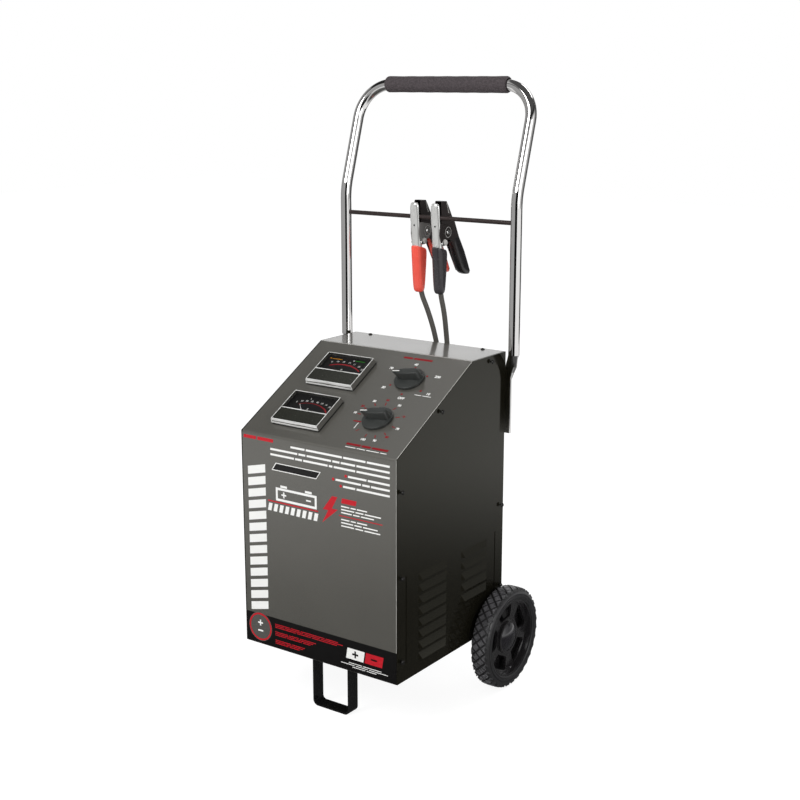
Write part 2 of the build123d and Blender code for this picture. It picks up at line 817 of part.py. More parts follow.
# ---- Rectifier: finned heatsink on the tray, four press-fit diodes and a circuit breaker ----
sink_x = -(core_width / 2 + 38)
sink_y = core_y
with BuildPart() as rectifier_heatsink:
    with BuildSketch(Plane.XY.offset(core_low)):
        with Locations((sink_x + sink_width / 2 - 3, sink_y)):
            Rectangle(6, sink_depth)
        fin_pitch = (sink_depth - fin_wall) / (sink_fins - 1)
        with Locations((sink_x, sink_y)):
            with GridLocations(0, fin_pitch, 1, sink_fins):
                Rectangle(sink_width, fin_wall)
    extrude(amount=sink_height)
save(rectifier_heatsink.part, "rectifier_heatsink")


diode_face = sink_x + sink_width / 2
diode_points = [(sink_y + across * 22, core_low + 24 + up * 34) for across in (-1, 1) for up in (0, 1)]
with BuildPart() as rectifier_diodes:
    with BuildSketch(Plane.YZ.offset(diode_face)):
        with Locations(*diode_points):
            Circle(diode_diameter / 2)
    extrude(amount=6)
    with BuildSketch(Plane.YZ.offset(diode_face + 6)):
        with Locations(*diode_points):
            Circle(1.2)
    extrude(amount=8)
save(rectifier_diodes.part, "rectifier_diodes")


with BuildPart() as circuit_breaker:
    with BuildSketch(Plane.XY.offset(core_low + sink_height)):
        with Locations((sink_x + sink_width / 2 - 12, sink_y)):
            RectangleRounded(20, 48, 2)
    extrude(amount=16)
    with BuildSketch(Plane.XY.offset(core_low + sink_height + 16)):
        with Locations(*[(sink_x + sink_width / 2 - 12, sink_y + across * 15) for across in (-1, 1)]):
            Circle(2.5)
    extrude(amount=9)
save(circuit_breaker.part, "circuit_breaker")


# ---- Fan: a bridge on the rear panel carries the motor, and the blades blow out of the slots ----
fan_z = case_bottom + fan_height
bridge_wall = 2.0
bridge_y = fan_y - motor_length / 2 - bridge_wall
bridge_half = fan_diameter / 2 + 12
blade_gap = 4.0
with BuildPart() as fan_bracket:
    with BuildSketch(Plane.XY.offset(fan_z - bridge_width / 2)):
        with BuildLine():
            left, right = fan_x - bridge_half, fan_x + bridge_half
            near = back_y - sheet
            Polyline((left - bridge_overlap, near), (left - bridge_overlap, near - bridge_wall),
                     (left, near - bridge_wall),
                     (left, bridge_y), (right, bridge_y), (right, near - bridge_wall),
                     (right + bridge_overlap, near - bridge_wall), (right + bridge_overlap, near),
                     (right - bridge_wall, near), (right - bridge_wall, bridge_y + bridge_wall),
                     (left + bridge_wall, bridge_y + bridge_wall), (left + bridge_wall, near), close=True)
        make_face()
    extrude(amount=bridge_width)
save(fan_bracket.part, "fan_bracket")


motor_back = bridge_y + bridge_wall
motor_front = motor_back + motor_length - blade_gap - 8
with BuildPart() as fan_motor:
    with BuildSketch(Plane.XZ.offset(-motor_back)):
        with Locations((fan_x, fan_z)):
            RectangleRounded(motor_size, motor_size, 8)
    extrude(amount=-(motor_front - motor_back))
    with BuildSketch(Plane.XZ.offset(-motor_front)):
        with Locations((fan_x, fan_z)):
            Circle(motor_shaft / 2 + shaft_clearance)
    extrude(amount=12, mode=Mode.SUBTRACT)
save(fan_motor.part, "fan_motor")


vane_root = fan_hub_diameter / 2 - 2
vane_reach = fan_diameter / 2 - vane_root
blade_low = motor_front + 3
blade_high = blade_low + 12
with BuildPart() as fan_blade:
    with BuildSketch(Plane.XZ.offset(-blade_low)):
        with Locations((fan_x, fan_z)):
            Circle(fan_hub_diameter / 2)
    extrude(amount=-(blade_high - blade_low))
    with BuildSketch(Plane.XZ.offset(-(motor_front - 11))):
        with Locations((fan_x, fan_z)):
            Circle(motor_shaft / 2)
    extrude(amount=-(blade_low - motor_front + 11))
    for blade in range(fan_blades):
        turn = Rotation(0, blade * 360 / fan_blades, 0)
        hub_centre = Pos(fan_x, (blade_low + blade_high) / 2, fan_z)
        vane = hub_centre * turn * Pos(0, 0, vane_root + vane_reach / 2) * Rotation(0, 0, 24)
        add(vane * Box(vane_chord, vane_wall, vane_reach, mode=Mode.PRIVATE))
save(fan_blade.part, "fan_blade")


# ---- Meters: housing through the panel, dial, needle on its pin, and a clear cover ----
def panel_plane(x, along, height=0.0, turn=0.0):
    """A plane parallel to the control panel, centred at (x, along), raised by height and turned."""
    origin = control_panel.from_local_coords((x, along, height))
    across = control_panel.x_dir * cos(radians(turn)) + control_panel.y_dir * sin(radians(turn))
    return Plane(origin=origin, x_dir=across, z_dir=control_panel.z_dir)


dial_width = meter_width - 2 * lens_wall - 1
dial_length = meter_length - 2 * lens_wall - 1
pin_bore = needle_pin / 2 + needle_clearance


def make_meter_housing(along):
    """Black body behind the panel with a rim plate in front of it."""
    with BuildPart() as housing:
        with BuildSketch(panel_plane(meter_x, along)):
            RectangleRounded(meter_width, meter_length, 3)
        extrude(amount=meter_base)
        with BuildSketch(panel_plane(meter_x, along)):
            Rectangle(meter_body_width, meter_body_length)
        extrude(amount=-meter_body_depth)
        with BuildSketch(panel_plane(meter_x, along - movement_drop, meter_base)):
            Circle(pin_bore)
        extrude(amount=-10, mode=Mode.SUBTRACT)
    return housing.part


def make_dial(along):
    """Thin dial plate on the housing, with a hole for the needle's pin."""
    with BuildPart() as dial:
        with BuildSketch(panel_plane(meter_x, along, meter_base)):
            RectangleRounded(dial_width, dial_length, 2)
        extrude(amount=dial_thickness)
        with BuildSketch(panel_plane(meter_x, along - movement_drop, meter_base)):
            Circle(pin_bore + 0.4)
        extrude(amount=2 * dial_thickness, mode=Mode.SUBTRACT)
    return dial.part


def make_needle(along):
    """Pointer on a pin; it turns about the pin, and rests towards the left of the scale."""
    low = meter_base + dial_thickness + 1.4
    with BuildPart() as needle:
        with BuildSketch(panel_plane(meter_x, along - movement_drop, meter_base - 9)):
            Circle(needle_pin / 2)
        extrude(amount=9 + dial_thickness + 1.4)
        with BuildSketch(panel_plane(meter_x, along - movement_drop, low)):
            Circle(3)
        extrude(amount=2)
        with BuildSketch(panel_plane(meter_x, along - movement_drop, low + 0.6, needle_rest)):
            with BuildLine():
                Polyline((-0.9, -7), (0.9, -7), (0.9, 0), (0.35, needle_length), (-0.35, needle_length),
                         (-0.9, 0), close=True)
            make_face()
        extrude(amount=0.8)
    return needle.part


def make_lens(along):
    """Clear moulded cover, open at the back, that stands on the housing's rim."""
    with BuildPart() as lens:
        with BuildSketch(panel_plane(meter_x, along, meter_base)):
            RectangleRounded(meter_width, meter_length, 3)
        extrude(amount=meter_lens - meter_base, taper=6)
        with BuildSketch(panel_plane(meter_x, along, meter_base)):
            RectangleRounded(meter_width - 2 * lens_wall, meter_length - 2 * lens_wall, 2)
        extrude(amount=meter_lens - meter_base - lens_wall, taper=6, mode=Mode.SUBTRACT)
    return lens.part


for name, along in zip(("ammeter", "voltmeter"), meter_along):
    save(make_meter_housing(along), f"{name}_housing")
    save(make_dial(along), f"{name}_dial")
    save(make_needle(along), f"{name}_needle")
    save(make_lens(along), f"{name}_lens")


# ---- Selector and timer: switch body behind the panel, shaft through it, knob in front ----
shaft_top = knob_gap + knob_height - 2
bushing_proud = 4.0
shaft_low = -switch_depth + 3


def make_switch(along):
    """Switch or timer body with its threaded bushing through the panel."""
    with BuildPart() as body:
        with BuildSketch(panel_plane(knob_x, along, -sheet)):
            RectangleRounded(switch_size, switch_size, 4)
        extrude(amount=-switch_depth)
        with BuildSketch(panel_plane(knob_x, along, -sheet)):
            Circle(bushing_diameter / 2)
        extrude(amount=sheet + bushing_proud)
        with BuildSketch(panel_plane(knob_x, along, bushing_proud)):
            Circle(shaft_diameter / 2 + shaft_clearance)
        extrude(amount=shaft_low - 0.5 - bushing_proud, mode=Mode.SUBTRACT)
    return body.part


def make_shaft(along):
    """Steel shaft that the knob turns."""
    with BuildPart() as shaft:
        with BuildSketch(panel_plane(knob_x, along, shaft_low)):
            Circle(shaft_diameter / 2)
        extrude(amount=shaft_top - shaft_low)
    return shaft.part


def make_knob(along):
    """Skirted knob with a raised finger bar that points at the set mark."""
    with BuildPart() as knob:
        with BuildSketch(panel_plane(knob_x, along, knob_gap)):
            Circle(knob_skirt / 2)
        extrude(amount=knob_rim)
        with BuildSketch(panel_plane(knob_x, along, knob_gap + knob_rim)):
            Circle(knob_skirt / 2 - 1.5)
        extrude(amount=knob_height - knob_rim, taper=50)
        with BuildSketch(panel_plane(knob_x, along, knob_gap + knob_rim, knob_pointer)):
            with BuildLine():
                wide, narrow = knob_bar_width / 2, 1.6
                Polyline((knob_skirt / 2 - 3, -narrow), (knob_skirt / 2 - 3, narrow), (knob_skirt / 5, wide),
                         (-knob_top / 2 - 2, wide), (-knob_top / 2 - 2, -wide), (knob_skirt / 5, -wide),
                         close=True)
            make_face()
        extrude(amount=knob_height + knob_bar_height - knob_rim, taper=4)
        with BuildSketch(panel_plane(knob_x, along, knob_gap)):
            Circle(bushing_diameter / 2 + 1.5)
        extrude(amount=bushing_proud + 1.5, mode=Mode.SUBTRACT)
        with BuildSketch(panel_plane(knob_x, along, knob_gap)):
            Circle(shaft_diameter / 2)
        extrude(amount=shaft_top - knob_gap, mode=Mode.SUBTRACT)
    return knob.part


for name, along in zip(("timer", "selector"), knob_along):
    save(make_switch(along), f"{name}_body" if name == "timer" else f"{name}_switch")
    save(make_shaft(along), f"{name}_shaft")
    save(make_knob(along), f"{name}_knob")


# ---- Cord holes: strain reliefs for the battery leads, and the mains inlet gland ----
with BuildPart() as lead_grommets:
    for x, z in gland_points:
        with BuildSketch(Plane.XZ.offset(-back_y)):
            with Locations((x, z)):
                Circle(gland_flange / 2)
        extrude(amount=-3)
        with BuildSketch(Plane.XZ.offset(-(back_y + 3))):
            with Locations((x, z)):
                Circle(gland_body / 2)
        extrude(amount=-gland_tail, taper=2)
        with BuildSketch(Plane.XZ.offset(-back_y)):
            with Locations((x, z)):
                Circle(gland_body / 2 - 0.1)
        extrude(amount=10)
    with BuildSketch(Plane.XZ.offset(-(back_y + gland_tail + 4))):
        with Locations(*gland_points):
            Circle(lead_diameter / 2 + 0.2)
    extrude(amount=gland_tail + 20, mode=Mode.SUBTRACT)
save(lead_grommets.part, "lead_grommets")


with BuildPart() as mains_gland:
    with BuildSketch(Plane.XZ.offset(-back_y)):
        with Locations(mains_point):
            Circle(gland_flange / 2)
    extrude(amount=-4)
    with BuildSketch(Plane.XZ.offset(-back_y)):
        with Locations(mains_point):
            Circle(gland_body / 2 - 0.1)
    extrude(amount=10)
    with BuildSketch(Plane.XZ.offset(-(back_y + 5))):
        with Locations(mains_point):
            Circle(mains_bore / 2)
    extrude(amount=20, mode=Mode.SUBTRACT)
save(mains_gland.part, "mains_gland")


# ---- Battery leads: hand-chosen points, from the strain relief to the coil and on to the clamp ----
coil_y = front_y + coil_from_front
coil_stack = lead_diameter * (coil_turns + 1)
coil_lift = {"black": 0.2, "red": 0.2 + coil_stack}


def lead_point(x, from_front, above_case_bottom):
    return (x, front_y + from_front, case_bottom + above_case_bottom)


lead_in = {
    "red": [
        lead_point(gland_x["red"], 306, gland_height),
        lead_point(gland_x["red"], 349, gland_height + 0.2),
        lead_point(-111.5, 375, 45),
        lead_point(-111, 389, 16),
        lead_point(-110.5, 390.5, -9),
        lead_point(-107, 389.8, -31),
        lead_point(-96.3, 388.8, -49.5),
        lead_point(-80.5, 388.3, -62.2),
        lead_point(coil_x, 388, -68.3),
    ],
    "black": [
        lead_point(gland_x["black"], 306, gland_height),
        lead_point(gland_x["black"], 349, gland_height + 0.2),
        lead_point(-139.5, 375, 45),
        lead_point(-139, 389, 16),
        lead_point(-137, 390.5, -14),
        lead_point(-131, 390, -48),
        lead_point(-116, 389, -78),
        lead_point(-90, 388, -94.3),
        lead_point(coil_x, 388, -95.3),
    ],
}
lead_out = {
    "red": [
        lead_point(coil_x, 388, -50.3),
        lead_point(-34, 388, -49.5),
        lead_point(-9, 387, -35),
        lead_point(6, 386, -9),
        lead_point(11, 385, 28),
        lead_point(15, 382, 90),
        lead_point(18, 376, 170),
        lead_point(20, 367, 260),
        lead_point(19, 354, 350),
        lead_point(14, 340, 430),
        lead_point(4.5, 331.5, 500),
        lead_point(-9, 327.5, 544),
        lead_point(-24, 323.8, 578),
        lead_point(-24, 317.6, 641),
    ],
    "black": [
        lead_point(coil_x, 388, -77.3),
        lead_point(-32, 388.5, -77.8),
        lead_point(-2, 388, -76),
        lead_point(23, 387, -59),
        lead_point(35, 386, -31),
        lead_point(39, 385, 8),
        lead_point(42, 381, 75),
        lead_point(44, 374, 160),
        lead_point(43, 364, 250),
        lead_point(38, 351, 340),
        lead_point(31.5, 339, 425),
        lead_point(28.5, 331.5, 500),
        lead_point(26, 327.5, 543),
        lead_point(19, 323.8, 578),
        lead_point(19, 317.6, 641),
    ],
}


def corner_radii(points):
    """The radius of each corner: 0.45 of the shorter run over the tangent of half the turn."""
    radii = []
    for before, here, after in zip(points, points[1:], points[2:]):
        run_in = Vector(*here) - Vector(*before)
        run_out = Vector(*after) - Vector(*here)
        turn = radians(run_in.get_angle(run_out))
        radii.append(0.45 * min(run_in.length, run_out.length) / tan(turn / 2))
    return radii


def tube_along(points, diameter):
    """A tube of straight runs and tangent arcs, with the length of its centre line."""
    with BuildPart(mode=Mode.PRIVATE) as tube:
        with BuildLine() as route:
            FilletPolyline(*points, radius=corner_radii(points))
        path = route.wire()
        with BuildSketch(Plane(origin=path @ 0, z_dir=path % 0)):
            Circle(diameter / 2)
        sweep(path=path)
    return tube.part, path.length


def lead_tube(points, label):
    """A stretch of battery lead; prints its length, its radii and its volume over section times length."""
    tube, length = tube_along(points, lead_diameter)
    section = pi * lead_diameter**2 / 4
    print(label, "length", round(length), "radii", [round(radius) for radius in corner_radii(points)],
          "volume share", round(tube.volume / (section * length), 4))
    return tube


for colour in ("red", "black"):
    with BuildPart() as lead:
        add(lead_tube(lead_in[colour], f"lead_{colour} in"))
        add(lead_tube(lead_out[colour], f"lead_{colour} out"))
    save(lead.part, f"lead_{colour}")
    with BuildPart() as lead_coil:
        with BuildSketch(Plane.XY.offset(coil_lift[colour])):
            with Locations((coil_x, coil_y)):
                Circle(coil_radius + lead_diameter / 2)
                Circle(coil_radius - lead_diameter / 2, mode=Mode.SUBTRACT)
        extrude(amount=coil_stack)
        fillet(lead_coil.edges().filter_by(GeomType.CIRCLE), lead_diameter * 0.4)
    save(lead_coil.part, f"lead_coil_{colour}")


with BuildPart() as coil_tie:
    reach = lead_diameter / 2
    low = coil_lift["black"]
    high = coil_lift["red"] + coil_stack
    with BuildSketch(Plane.YZ.offset(coil_x - tie_width / 2)):
        with Locations((coil_y + coil_radius, (low + high + tie_wall) / 2)):
            Rectangle(2 * (reach + tie_wall), high - low + tie_wall)
        with Locations((coil_y + coil_radius, (low + tie_wall + high) / 2)):
            Rectangle(2 * reach, high - low - tie_wall, mode=Mode.SUBTRACT)
    extrude(amount=tie_width)
save(coil_tie.part, "coil_tie")


# ---- Battery clamps: side outlines as (back, up) from the crossbar's centre ----
pivot = (pivot_back, -pivot_drop)
clamp_half = clamp_width / 2
gap_half = crossbar_diameter / 2 + 0.45
front_jaw = [(-9.7, 19), (-8.4, 23), (-6.4, 25), (-gap_half, 24.5), (-gap_half, -8), (4, -14), (8.5, -50),
             (15, -126), (4, -126)]
front_ear = [(-gap_half, -9), (pivot_back, ear_radius - pivot_drop), (pivot_back, -ear_radius - pivot_drop),
             (6, -47)]
rear_jaw = [(gap_half, 24), (6, 28), (19, 27.5), (24.5, 20), (37, 0), (46, -11), (58.5, -36), (77, -64),
            (96, -101), (90, -104), (71, -98), (36, -43), (gap_half + 3, -24), (gap_half, -8)]
front_grip = [(-5.4, -48), (10, -51), (21, -58), (17, -126), (14, -129), (6, -129), (2.5, -126)]
rear_grip = [(41.5, -38), (57, -30), (62, -38), (79.5, -62), (101.5, -103), (99.5, -107), (91.5, -107),
             (67.5, -101), (34.5, -44)]
cable_bolt = (4.5, -45)


def clamp_points(outline):
    """Side outline of a clamp piece as (y, z) points."""
    return [(bar_y + back, bar_z + up) for back, up in outline]


def side_face(outline):
    """A private sketch of a side outline, for extruding along X."""
    with BuildSketch(mode=Mode.PRIVATE) as face:
        with BuildLine():
            Polyline(*clamp_points(outline), close=True)
        make_face()
    return face.sketch


def make_front_half(x):
    """Channel that faces the user: web in front, flanges with ears for the pivot."""
    ear = Pos(bar_y + pivot[0], bar_z + pivot[1]) * Circle(ear_radius, mode=Mode.PRIVATE)
    outline = side_face(front_jaw) + side_face(front_ear) + ear
    inside = Pos(clamp_sheet, 0) * outline
    with BuildPart() as half:
        with BuildSketch(Plane.YZ.offset(x - clamp_half)):
            add(outline)
        extrude(amount=clamp_width)
        with BuildSketch(Plane.YZ.offset(x - clamp_half + clamp_sheet)):
            add(inside)
        extrude(amount=clamp_width - 2 * clamp_sheet, mode=Mode.SUBTRACT)
        holes = clamp_points([pivot, cable_bolt])
        add(bores(Plane.YZ.offset(x), holes, pivot_pin + 0.1, clamp_width), mode=Mode.SUBTRACT)
    return half.part


rear_half_width = clamp_half - clamp_sheet - clamp_play


def make_rear_half(x):
    """Channel behind the bar: web at the back, flanges between the front half's ears."""
    outline = side_face(rear_jaw)
    inside = Pos(-clamp_sheet * 1.3, 0) * outline
    with BuildPart() as half:
        with BuildSketch(Plane.YZ.offset(x - rear_half_width)):
            add(outline)
        extrude(amount=2 * rear_half_width)
        with BuildSketch(Plane.YZ.offset(x - rear_half_width + clamp_sheet)):
            add(inside)
        extrude(amount=2 * (rear_half_width - clamp_sheet), mode=Mode.SUBTRACT)
        holes = clamp_points([pivot])
        add(bores(Plane.YZ.offset(x), holes, pivot_pin + 0.12, clamp_width), mode=Mode.SUBTRACT)
    return half.part


def make_grip(x, outline, inner, half):
    """Moulded sleeve over a handle; inner is the handle's outline and half its half width."""
    shell = half + grip_wall + 0.1
    with BuildPart() as grip:
        with BuildSketch(Plane.YZ.offset(x - shell)):
            add(side_face(outline))
        extrude(amount=2 * shell)
        rims = grip.faces().filter_by(Axis.X)
        fillet(rims[0].edges() + rims[1].edges(), grip_wall)
        with BuildSketch(Plane.YZ.offset(x - half - 0.05)):
            add(side_face(inner))
        extrude(amount=2 * half + 0.1, mode=Mode.SUBTRACT)
    return grip.part


for colour, x in clamp_x.items():
    save(make_front_half(x), f"clamp_front_half_{colour}")
    save(make_rear_half(x), f"clamp_rear_half_{colour}")
    sleeve = make_grip(x, front_grip, front_jaw, clamp_half)
    with BuildPart() as front_sleeve:
        add(sleeve)
        add(tube_along(lead_out[colour][-4:], lead_diameter + 0.4)[0], mode=Mode.SUBTRACT)
    save(front_sleeve.part, f"clamp_front_grip_{colour}")
    save(make_grip(x, rear_grip, rear_jaw, rear_half_width), f"clamp_rear_grip_{colour}")


def clamp_pin(x, point, head, reach):
    """A pin through a clamp, with a head on each side."""
    y, z = clamp_points([point])[0]
    with BuildPart(mode=Mode.PRIVATE) as pin:
        with BuildSketch(Plane(origin=(x - reach, y, z), z_dir=(1, 0, 0))):
            Circle(pivot_pin / 2)
        extrude(amount=2 * reach)
        for side in (-1, 1):
            with BuildSketch(Plane(origin=(x + side * reach, y, z), z_dir=(side, 0, 0))):
                Circle(head / 2)
            extrude(amount=2, taper=20)
    return pin.part


with BuildPart() as clamp_pins:
    for x in clamp_x.values():
        add(clamp_pin(x, pivot, pivot_head, clamp_half))
        add(clamp_pin(x, cable_bolt, pivot_head, clamp_half))
save(clamp_pins.part, "clamp_pins")


spring_half = rear_half_width - clamp_sheet - 0.4
with BuildPart() as clamp_springs:
    for x in clamp_x.values():
        with BuildSketch(Plane.YZ.offset(x - spring_half)):
            with Locations(*clamp_points([pivot])):
                Circle(pivot_pin / 2 + 2.4)
                Circle(pivot_pin / 2 + 0.2, mode=Mode.SUBTRACT)
        extrude(amount=2 * spring_half)
save(clamp_springs.part, "clamp_springs")
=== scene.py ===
"""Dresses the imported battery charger: finishes, prints, meters, treads, clamps, leads and the stage."""

import json
from math import cos, hypot, pi, radians, sin

import bmesh
import bpy
from mathutils import Matrix, Vector


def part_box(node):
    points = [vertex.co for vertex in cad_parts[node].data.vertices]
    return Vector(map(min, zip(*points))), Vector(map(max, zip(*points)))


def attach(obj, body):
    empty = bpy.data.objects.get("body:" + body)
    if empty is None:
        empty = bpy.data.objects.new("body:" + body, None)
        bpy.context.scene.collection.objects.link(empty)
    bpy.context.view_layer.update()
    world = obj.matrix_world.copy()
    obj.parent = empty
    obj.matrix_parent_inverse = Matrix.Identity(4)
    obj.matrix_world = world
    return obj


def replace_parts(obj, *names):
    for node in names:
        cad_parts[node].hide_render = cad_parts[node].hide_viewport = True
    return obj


bl_info = {
    "name": "Battery charger dresser",
    "version": (1, 0, 0),
    "blender": (4, 5, 0),
    "location": "3D View > Sidebar > Charger",
    "description": "Gives the packed battery charger its finishes, prints, treads, clamps and leads",
    "category": "Object",
}

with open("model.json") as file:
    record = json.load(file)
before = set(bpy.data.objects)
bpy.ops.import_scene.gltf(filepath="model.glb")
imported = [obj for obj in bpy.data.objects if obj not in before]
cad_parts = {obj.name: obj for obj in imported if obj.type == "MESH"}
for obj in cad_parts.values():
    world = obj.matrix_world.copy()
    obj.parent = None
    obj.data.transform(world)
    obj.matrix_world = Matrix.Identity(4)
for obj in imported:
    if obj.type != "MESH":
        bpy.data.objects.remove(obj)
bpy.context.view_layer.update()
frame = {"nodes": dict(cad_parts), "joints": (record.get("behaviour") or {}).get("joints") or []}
MM = 0.001
SIDES = ("left", "right")
METERS = ("ammeter", "voltmeter")
JOINTS = {joint["name"]: joint for joint in frame["joints"]}
# Distances from the axle between which the tread's rubber turns from a painted shade below its blocks to a
# painted highlight on their tops.
SHADE_RADIUS = 0.0866
HIGHLIGHT_RADIUS = 0.0884


def corners(node):
    """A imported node's lowest and highest corners at rest."""
    return [Vector(corner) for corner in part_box(node)]


# ---- Node trees: values that take part in sums, and one method that adds any other node ----
def sums(operation, swapped=False):
    """A method for Value that adds one Math node."""

    def method(self, other):
        pair = (other, self) if swapped else (self, other)
        return self.tree.maths(operation, *pair)

    return method


class Value:
    """One output of a node tree; sums with it add Math nodes."""

    __add__ = sums("ADD")
    __sub__ = sums("SUBTRACT")
    __rsub__ = sums("SUBTRACT", swapped=True)
    __mul__ = sums("MULTIPLY")
    __truediv__ = sums("DIVIDE")
    __mod__ = sums("FLOORED_MODULO")

    def __init__(self, tree, socket):
        self.tree = tree
        self.socket = socket

    def ramp(self, low, high, to_low=0.0, to_high=1.0):
        """Smoothly maps the span from low to high onto to_low to to_high."""
        values = [self, low, high, to_low, to_high]
        return self.tree.node("ShaderNodeMapRange", values, interpolation_type="SMOOTHSTEP")


class Tree:
    """A node tree that is being built."""

    def __init__(self, tree):
        self.tree = tree

    def add(self, kind, values=(), named=None, **settings):
        """Adds a node: settings first, then the values or links of its sockets, by order or by name."""
        made = self.tree.nodes.new(kind)
        for key, setting in settings.items():
            setattr(made, key, setting)
        for socket, value in zip(made.inputs, values):
            self.feed(socket, value)
        for key, value in (named or {}).items():
            self.feed(made.inputs[key], value)
        return made

    def node(self, kind, values=(), named=None, output=0, **settings):
        """Adds a node and gives one of its outputs."""
        made = self.add(kind, values, named, **settings)
        return Value(self, made.outputs[output])

    def feed(self, socket, value):
        if isinstance(value, Value):
            self.tree.links.new(value.socket, socket)
        else:
            socket.default_value = value

    def maths(self, operation, *values):
        return self.node("ShaderNodeMath", values, operation=operation)

    def mix(self, factor, first, second):
        """A blend of two colours."""
        values = {0: factor, 6: first, 7: second}
        return self.node("ShaderNodeMix", named=values, output=2, data_type="RGBA")

    def vector(self, x, y, z):
        return self.node("ShaderNodeCombineXYZ", [x, y, z])

    def parts(self, vector):
        """The three parts of a vector."""
        made = self.add("ShaderNodeSeparateXYZ", [vector])
        return [Value(self, output) for output in made.outputs]


class Finish(Tree):
    """A material with one Principled shader, whose surface socket values are given by name."""

    def __init__(self, name):
        self.material = bpy.data.materials.new(name)
        self.material.use_nodes = True
        super().__init__(self.material.node_tree)
        self.shader = self.tree.nodes["Principled BSDF"]
        self.place = self.node("ShaderNodeTexCoord", output="Object")
        self.x, self.y, self.z = self.parts(self.place)

    def noise(self, scale, detail=3.0, place=None):
        """Cloudy noise; scale is in waves per metre."""
        values = {"Vector": place or self.place, "Scale": scale, "Detail": detail}
        return self.node("ShaderNodeTexNoise", named=values)

    def stretched(self, x, y, z):
        """Object place with each axis scaled, for brushed or streaked patterns."""
        return self.node("ShaderNodeMapping", named={"Vector": self.place, "Scale": (x, y, z)})

    def bump(self, height, distance):
        return self.node("ShaderNodeBump", named={"Height": height, "Distance": distance})

    def tones(self, factor, colour, low, high):
        """A blend between a colour times low and the same colour times high."""
        return self.mix(factor, shade(colour, low), shade(colour, high))

    def surface(self, **values):
        """Sets the shader's sockets, with _ for a space: Base_Color, Roughness, Metallic, Normal."""
        for key, value in values.items():
            self.feed(self.shader.inputs[key.replace("_", " ")], value)
        return self.material

    def output(self, shader):
        """Puts another shader's output on the material."""
        self.feed(self.tree.nodes["Material Output"].inputs[0], shader)


def rgba(colour):
    return (*colour, 1.0)


def grey(level):
    return (level, level, level, 1.0)


def shade(colour, factor):
    return rgba([min(1.0, part * factor) for part in colour])


# ---- Finishes ----
def coated(name, colour, roughness=0.35, metallic=0.0, coat=0.0, mottle=0.12, grain=900.0, depth=0.00004,
           sheen=0.3):
    """A plain finish: slight mottling of colour and gloss, and a fine grain; sheen is its mirror share."""
    finish = Finish(name)
    cloud = finish.noise(18.0)
    fine = finish.noise(grain, detail=2.0)
    return finish.surface(
        Base_Color=finish.tones(cloud, colour, 1 - mottle, 1 + mottle),
        Roughness=cloud.ramp(0.2, 0.8, roughness * 0.85, roughness * 1.15),
        Metallic=metallic,
        Specular_IOR_Level=sheen,
        Coat_Weight=coat,
        Coat_Roughness=0.08,
        Normal=finish.bump(fine, depth),
    )


def flat_print(name, colour, roughness=0.45):
    """Screen-printed ink: even colour, with a faint mesh grain."""
    return coated(name, colour, roughness, mottle=0.04, grain=2500.0, depth=0.00001)


def panel_paint(name, colour, roughness, metallic=0.0, coat=0.0, sheen=0.25, tinge=(1.0, 1.0, 1.0)):
    """Stoved paint with orange peel and very fine flakes; tinge colours what it mirrors."""
    finish = Finish(name)
    cloud = finish.noise(7.0)
    flake = finish.noise(5200.0, detail=1.0)
    peel = finish.noise(420.0, detail=2.0)
    tone = finish.tones(cloud, colour, 0.9, 1.1)
    return finish.surface(
        Base_Color=finish.mix(flake.ramp(0.45, 0.75), tone, shade(colour, 1.5)),
        Roughness=cloud.ramp(0.2, 0.8, roughness * 0.9, roughness * 1.1),
        Metallic=metallic,
        Specular_IOR_Level=sheen,
        Specular_Tint=rgba(tinge),
        Coat_Weight=coat,
        Coat_Roughness=0.1,
        Normal=finish.bump(peel, 0.00003),
    )


def plated(name, colour, roughness=0.08):
    """Bright plating with faint hairlines along its length and a little haze."""
    finish = Finish(name)
    hair = finish.noise(1.0, detail=4.0, place=finish.stretched(1500, 1500, 60))
    cloud = finish.noise(25.0)
    return finish.surface(
        Base_Color=finish.tones(cloud, colour, 0.93, 1.05),
        Metallic=1.0,
        Roughness=hair.ramp(0.35, 0.75, roughness, roughness * 2),
        Normal=finish.bump(hair, 0.000002),
    )


def foam_finish(name, colour):
    """Closed-cell foam: dull, with fine pores whose pits are painted darker as shade, and a speckle."""
    finish = Finish(name)
    pores = finish.node("ShaderNodeTexVoronoi", named={"Vector": finish.place, "Scale": 900.0}, feature="F1")
    cloud = finish.noise(60.0)
    speckle = finish.noise(330.0, detail=1.0)
    skin = finish.tones(speckle.ramp(0.35, 0.65), colour, 0.88, 1.25)
    return finish.surface(
        # The pores' pits painted darker, as shade.
        Base_Color=finish.mix(pores.ramp(0.0, 0.35), shade(colour, 0.55), skin),
        Roughness=0.9,
        Normal=finish.bump(pores.ramp(0.0, 0.5) + cloud * 0.6, 0.00025),
    )


def jacket(name, colour):
    """Rubber cable jacket: satin, with faint scuffs."""
    finish = Finish(name)
    fine = finish.noise(700.0)
    scuff = finish.noise(45.0)
    return finish.surface(
        Base_Color=finish.tones(scuff, colour, 0.8, 1.25),
        Roughness=scuff.ramp(0.3, 0.7, 0.42, 0.6),
        Normal=finish.bump(fine, 0.00006),
    )


def clear_cover(name):
    """Clear moulded plastic: mostly seen through, with a glossy skin."""
    finish = Finish(name)
    haze = finish.noise(30.0)
    return finish.surface(Base_Color=grey(0.02), Roughness=haze.ramp(0.3, 0.7, 0.03, 0.06), Alpha=0.12)


